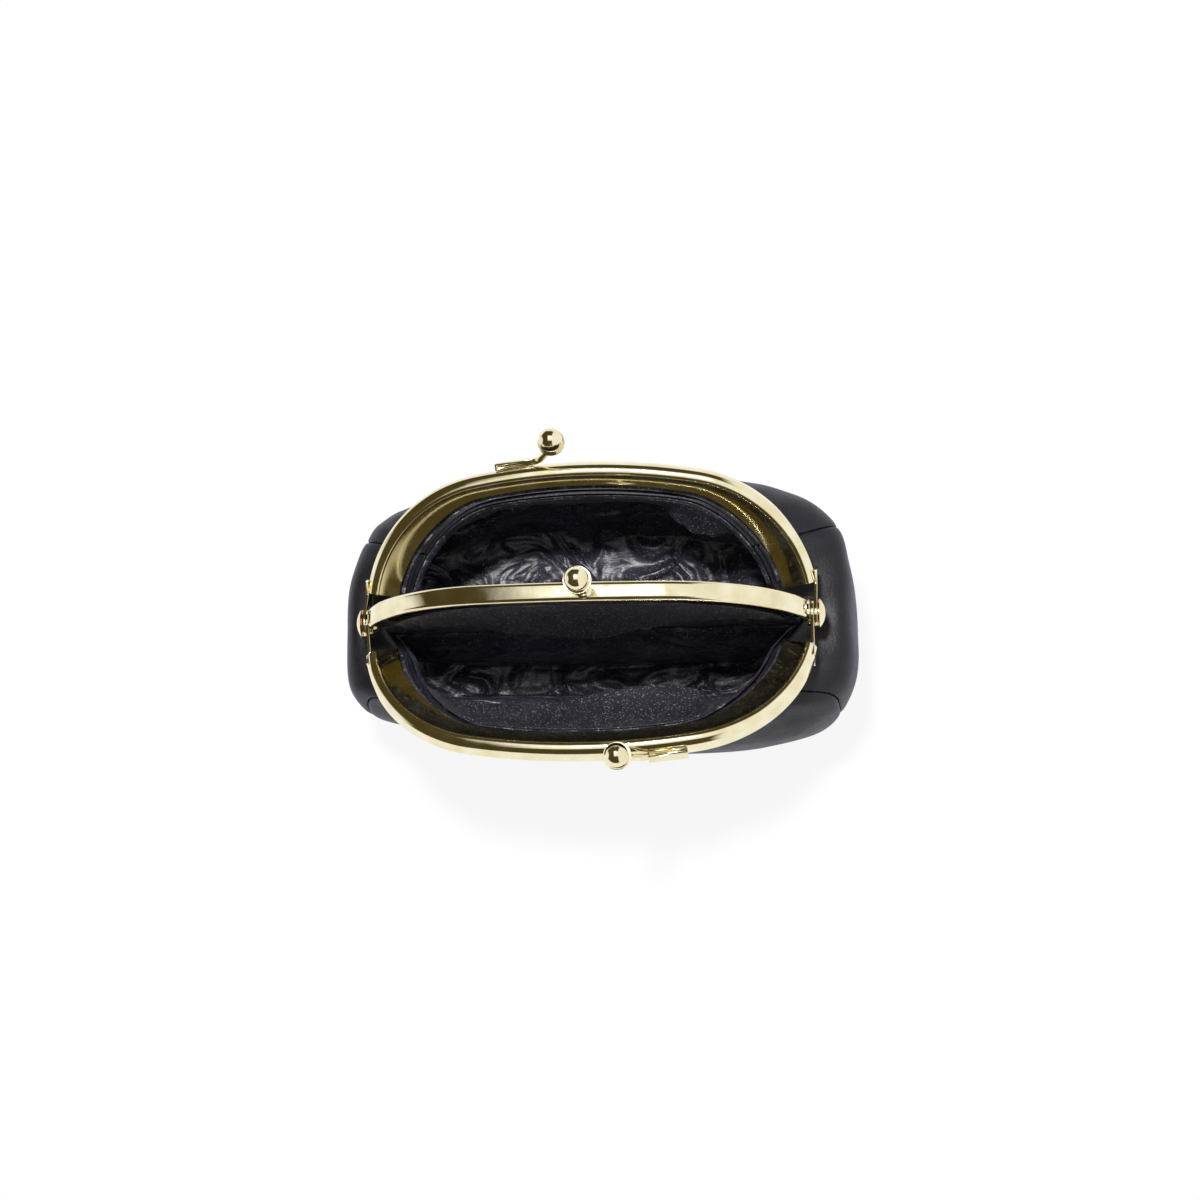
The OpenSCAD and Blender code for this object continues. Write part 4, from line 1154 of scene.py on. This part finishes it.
# The studio: white all round for the camera, plain and dimmer for soft light. Gloss sees a white room with
# three dark flags: one towards the front and one towards the back, set by the angle from straight up (below
# zero is the front), and one at the left, set by the sine of the angle sideways
studio = {"soft": 0.32, "white": "#FFFFFF", "flag": "#4A4226",
          "flags": [(-90, 1), (-24, 1), (-17, 0), (26, 0), (32, 1), (80, 1), (86, 0)],
          "flagHalfWidth": (0.34, 0.46),
          "leftFlag": [(-1.0, 0), (-0.97, 0), (-0.9, 1), (-0.34, 1), (-0.22, 0)]}
world = bpy.data.worlds.new("studio")
bpy.context.scene.world = world
world.use_nodes = True
tree = world.node_tree
tree.nodes.clear()
rays = addNode(tree, "ShaderNodeLightPath")
towards = addNode(tree, "ShaderNodeTexCoord")
axis = addNode(tree, "ShaderNodeSeparateXYZ", links={"Vector": towards.outputs["Generated"]})
tilt = addNode(tree, "ShaderNodeMath", {"operation": "ARCTAN2"}, {0: axis.outputs["Y"], 1: axis.outputs["Z"]})
share = addNode(tree, "ShaderNodeMapRange", {"From Min": -math.pi / 2, "From Max": math.pi / 2},
                {"Value": tilt.outputs["Value"]})
grey = lambda lit: "#FFFFFF" if lit else "#000000"
bands = colourRamp(tree, share.outputs["Result"], [((a + 90) / 180, grey(lit)) for a, lit in studio["flags"]])
sideways = addNode(tree, "ShaderNodeMath", {"operation": "ABSOLUTE"}, {0: axis.outputs["X"]})
near, far = studio["flagHalfWidth"]
within = addNode(tree, "ShaderNodeMapRange", {"From Min": far, "From Max": near},
                 {"Value": sideways.outputs["Value"]})
narrow = addNode(tree, "ShaderNodeMath", {"operation": "MULTIPLY"},
                 {0: bands.outputs["Color"], 1: within.outputs["Result"]})
across = addNode(tree, "ShaderNodeMapRange", {"From Min": -1.0, "From Max": 1.0},
                 {"Value": axis.outputs["X"]})
left = colourRamp(tree, across.outputs["Result"], [((a + 1) / 2, grey(lit)) for a, lit in studio["leftFlag"]])
dark = addNode(tree, "ShaderNodeMath", {"operation": "MAXIMUM"},
               {0: narrow.outputs["Value"], 1: left.outputs["Color"]})
room = colourRamp(tree, dark.outputs["Value"], [(0.0, studio["white"]), (1.0, studio["flag"])])
soft = addNode(tree, "ShaderNodeBackground", {"Color": (1, 1, 1, 1), "Strength": studio["soft"]})
gloss = addNode(tree, "ShaderNodeBackground", {"Strength": 1.0}, {"Color": room.outputs["Color"]})
white = addNode(tree, "ShaderNodeBackground", {"Color": (1, 1, 1, 1), "Strength": 1.0})
inner = addNode(tree, "ShaderNodeMixShader", links={
    0: rays.outputs["Is Glossy Ray"], 1: soft.outputs["Background"], 2: gloss.outputs["Background"]})
outer = addNode(tree, "ShaderNodeMixShader", links={
    0: rays.outputs["Is Camera Ray"], 1: inner.outputs["Shader"], 2: white.outputs["Background"]})
addNode(tree, "ShaderNodeOutputWorld", links={"Surface": outer.outputs["Shader"]})


key = {"place": (-0.02, 0.15, 1.04), "target": (0, 0, 0.05), "size": 0.12, "watts": 10}
deselect()
bpy.ops.object.light_add(type="AREA", location=key["place"])
lamp = bpy.context.object
lamp.name = "overheadKey"
lamp.data.shape = "DISK"
lamp.data.size = key["size"]
lamp.data.energy = key["watts"]
lamp.rotation_euler = (Vector(key["target"]) - Vector(key["place"])).to_track_quat("-Z", "Y").to_euler()

# The camera, fitted to the outlines of the frames in the photograph. Distance in metres from the middle of
# the hinge line, angles in degrees, scale in pixels to a millimetre there, and middle that point's pixel.
camera = {"distance": 0.650, "turn": -0.09, "height": 78.79, "roll": -7.32, "scale": 3.880,
          "middle": (588.90, 618.49), "photoWidth": 1200, "sensor": 36}
elevation = math.radians(camera["height"])
axes = Matrix(((1, 0, 0), (0, math.sin(elevation), math.cos(elevation)),
               (0, -math.cos(elevation), math.sin(elevation))))
turnZ = Matrix.Rotation(math.radians(camera["turn"]), 3, "Z")
turnY = Matrix.Rotation(math.radians(camera["roll"]), 3, "Y")
axes = axes @ turnZ @ turnY
deselect()
bpy.ops.object.camera_add()
eye = bpy.context.object
eye.name = "photoCamera"
spot = Vector((0, 0, purse["hingeHeight"] * mm)) + Vector(axes[2]) * camera["distance"]
eye.matrix_world = Matrix.Translation(spot) @ axes.transposed().to_4x4()
wide = camera["photoWidth"]
eye.data.sensor_width = camera["sensor"]
eye.data.lens = camera["scale"] * camera["distance"] * 1000 / wide * camera["sensor"]
eye.data.shift_x = (wide / 2 - camera["middle"][0]) / wide
eye.data.shift_y = (camera["middle"][1] - wide / 2) / wide
eye.data.clip_start = 0.01
bpy.context.scene.camera = eye
bpy.context.scene.view_settings.view_transform = "Standard"
print("ground, light and camera made")
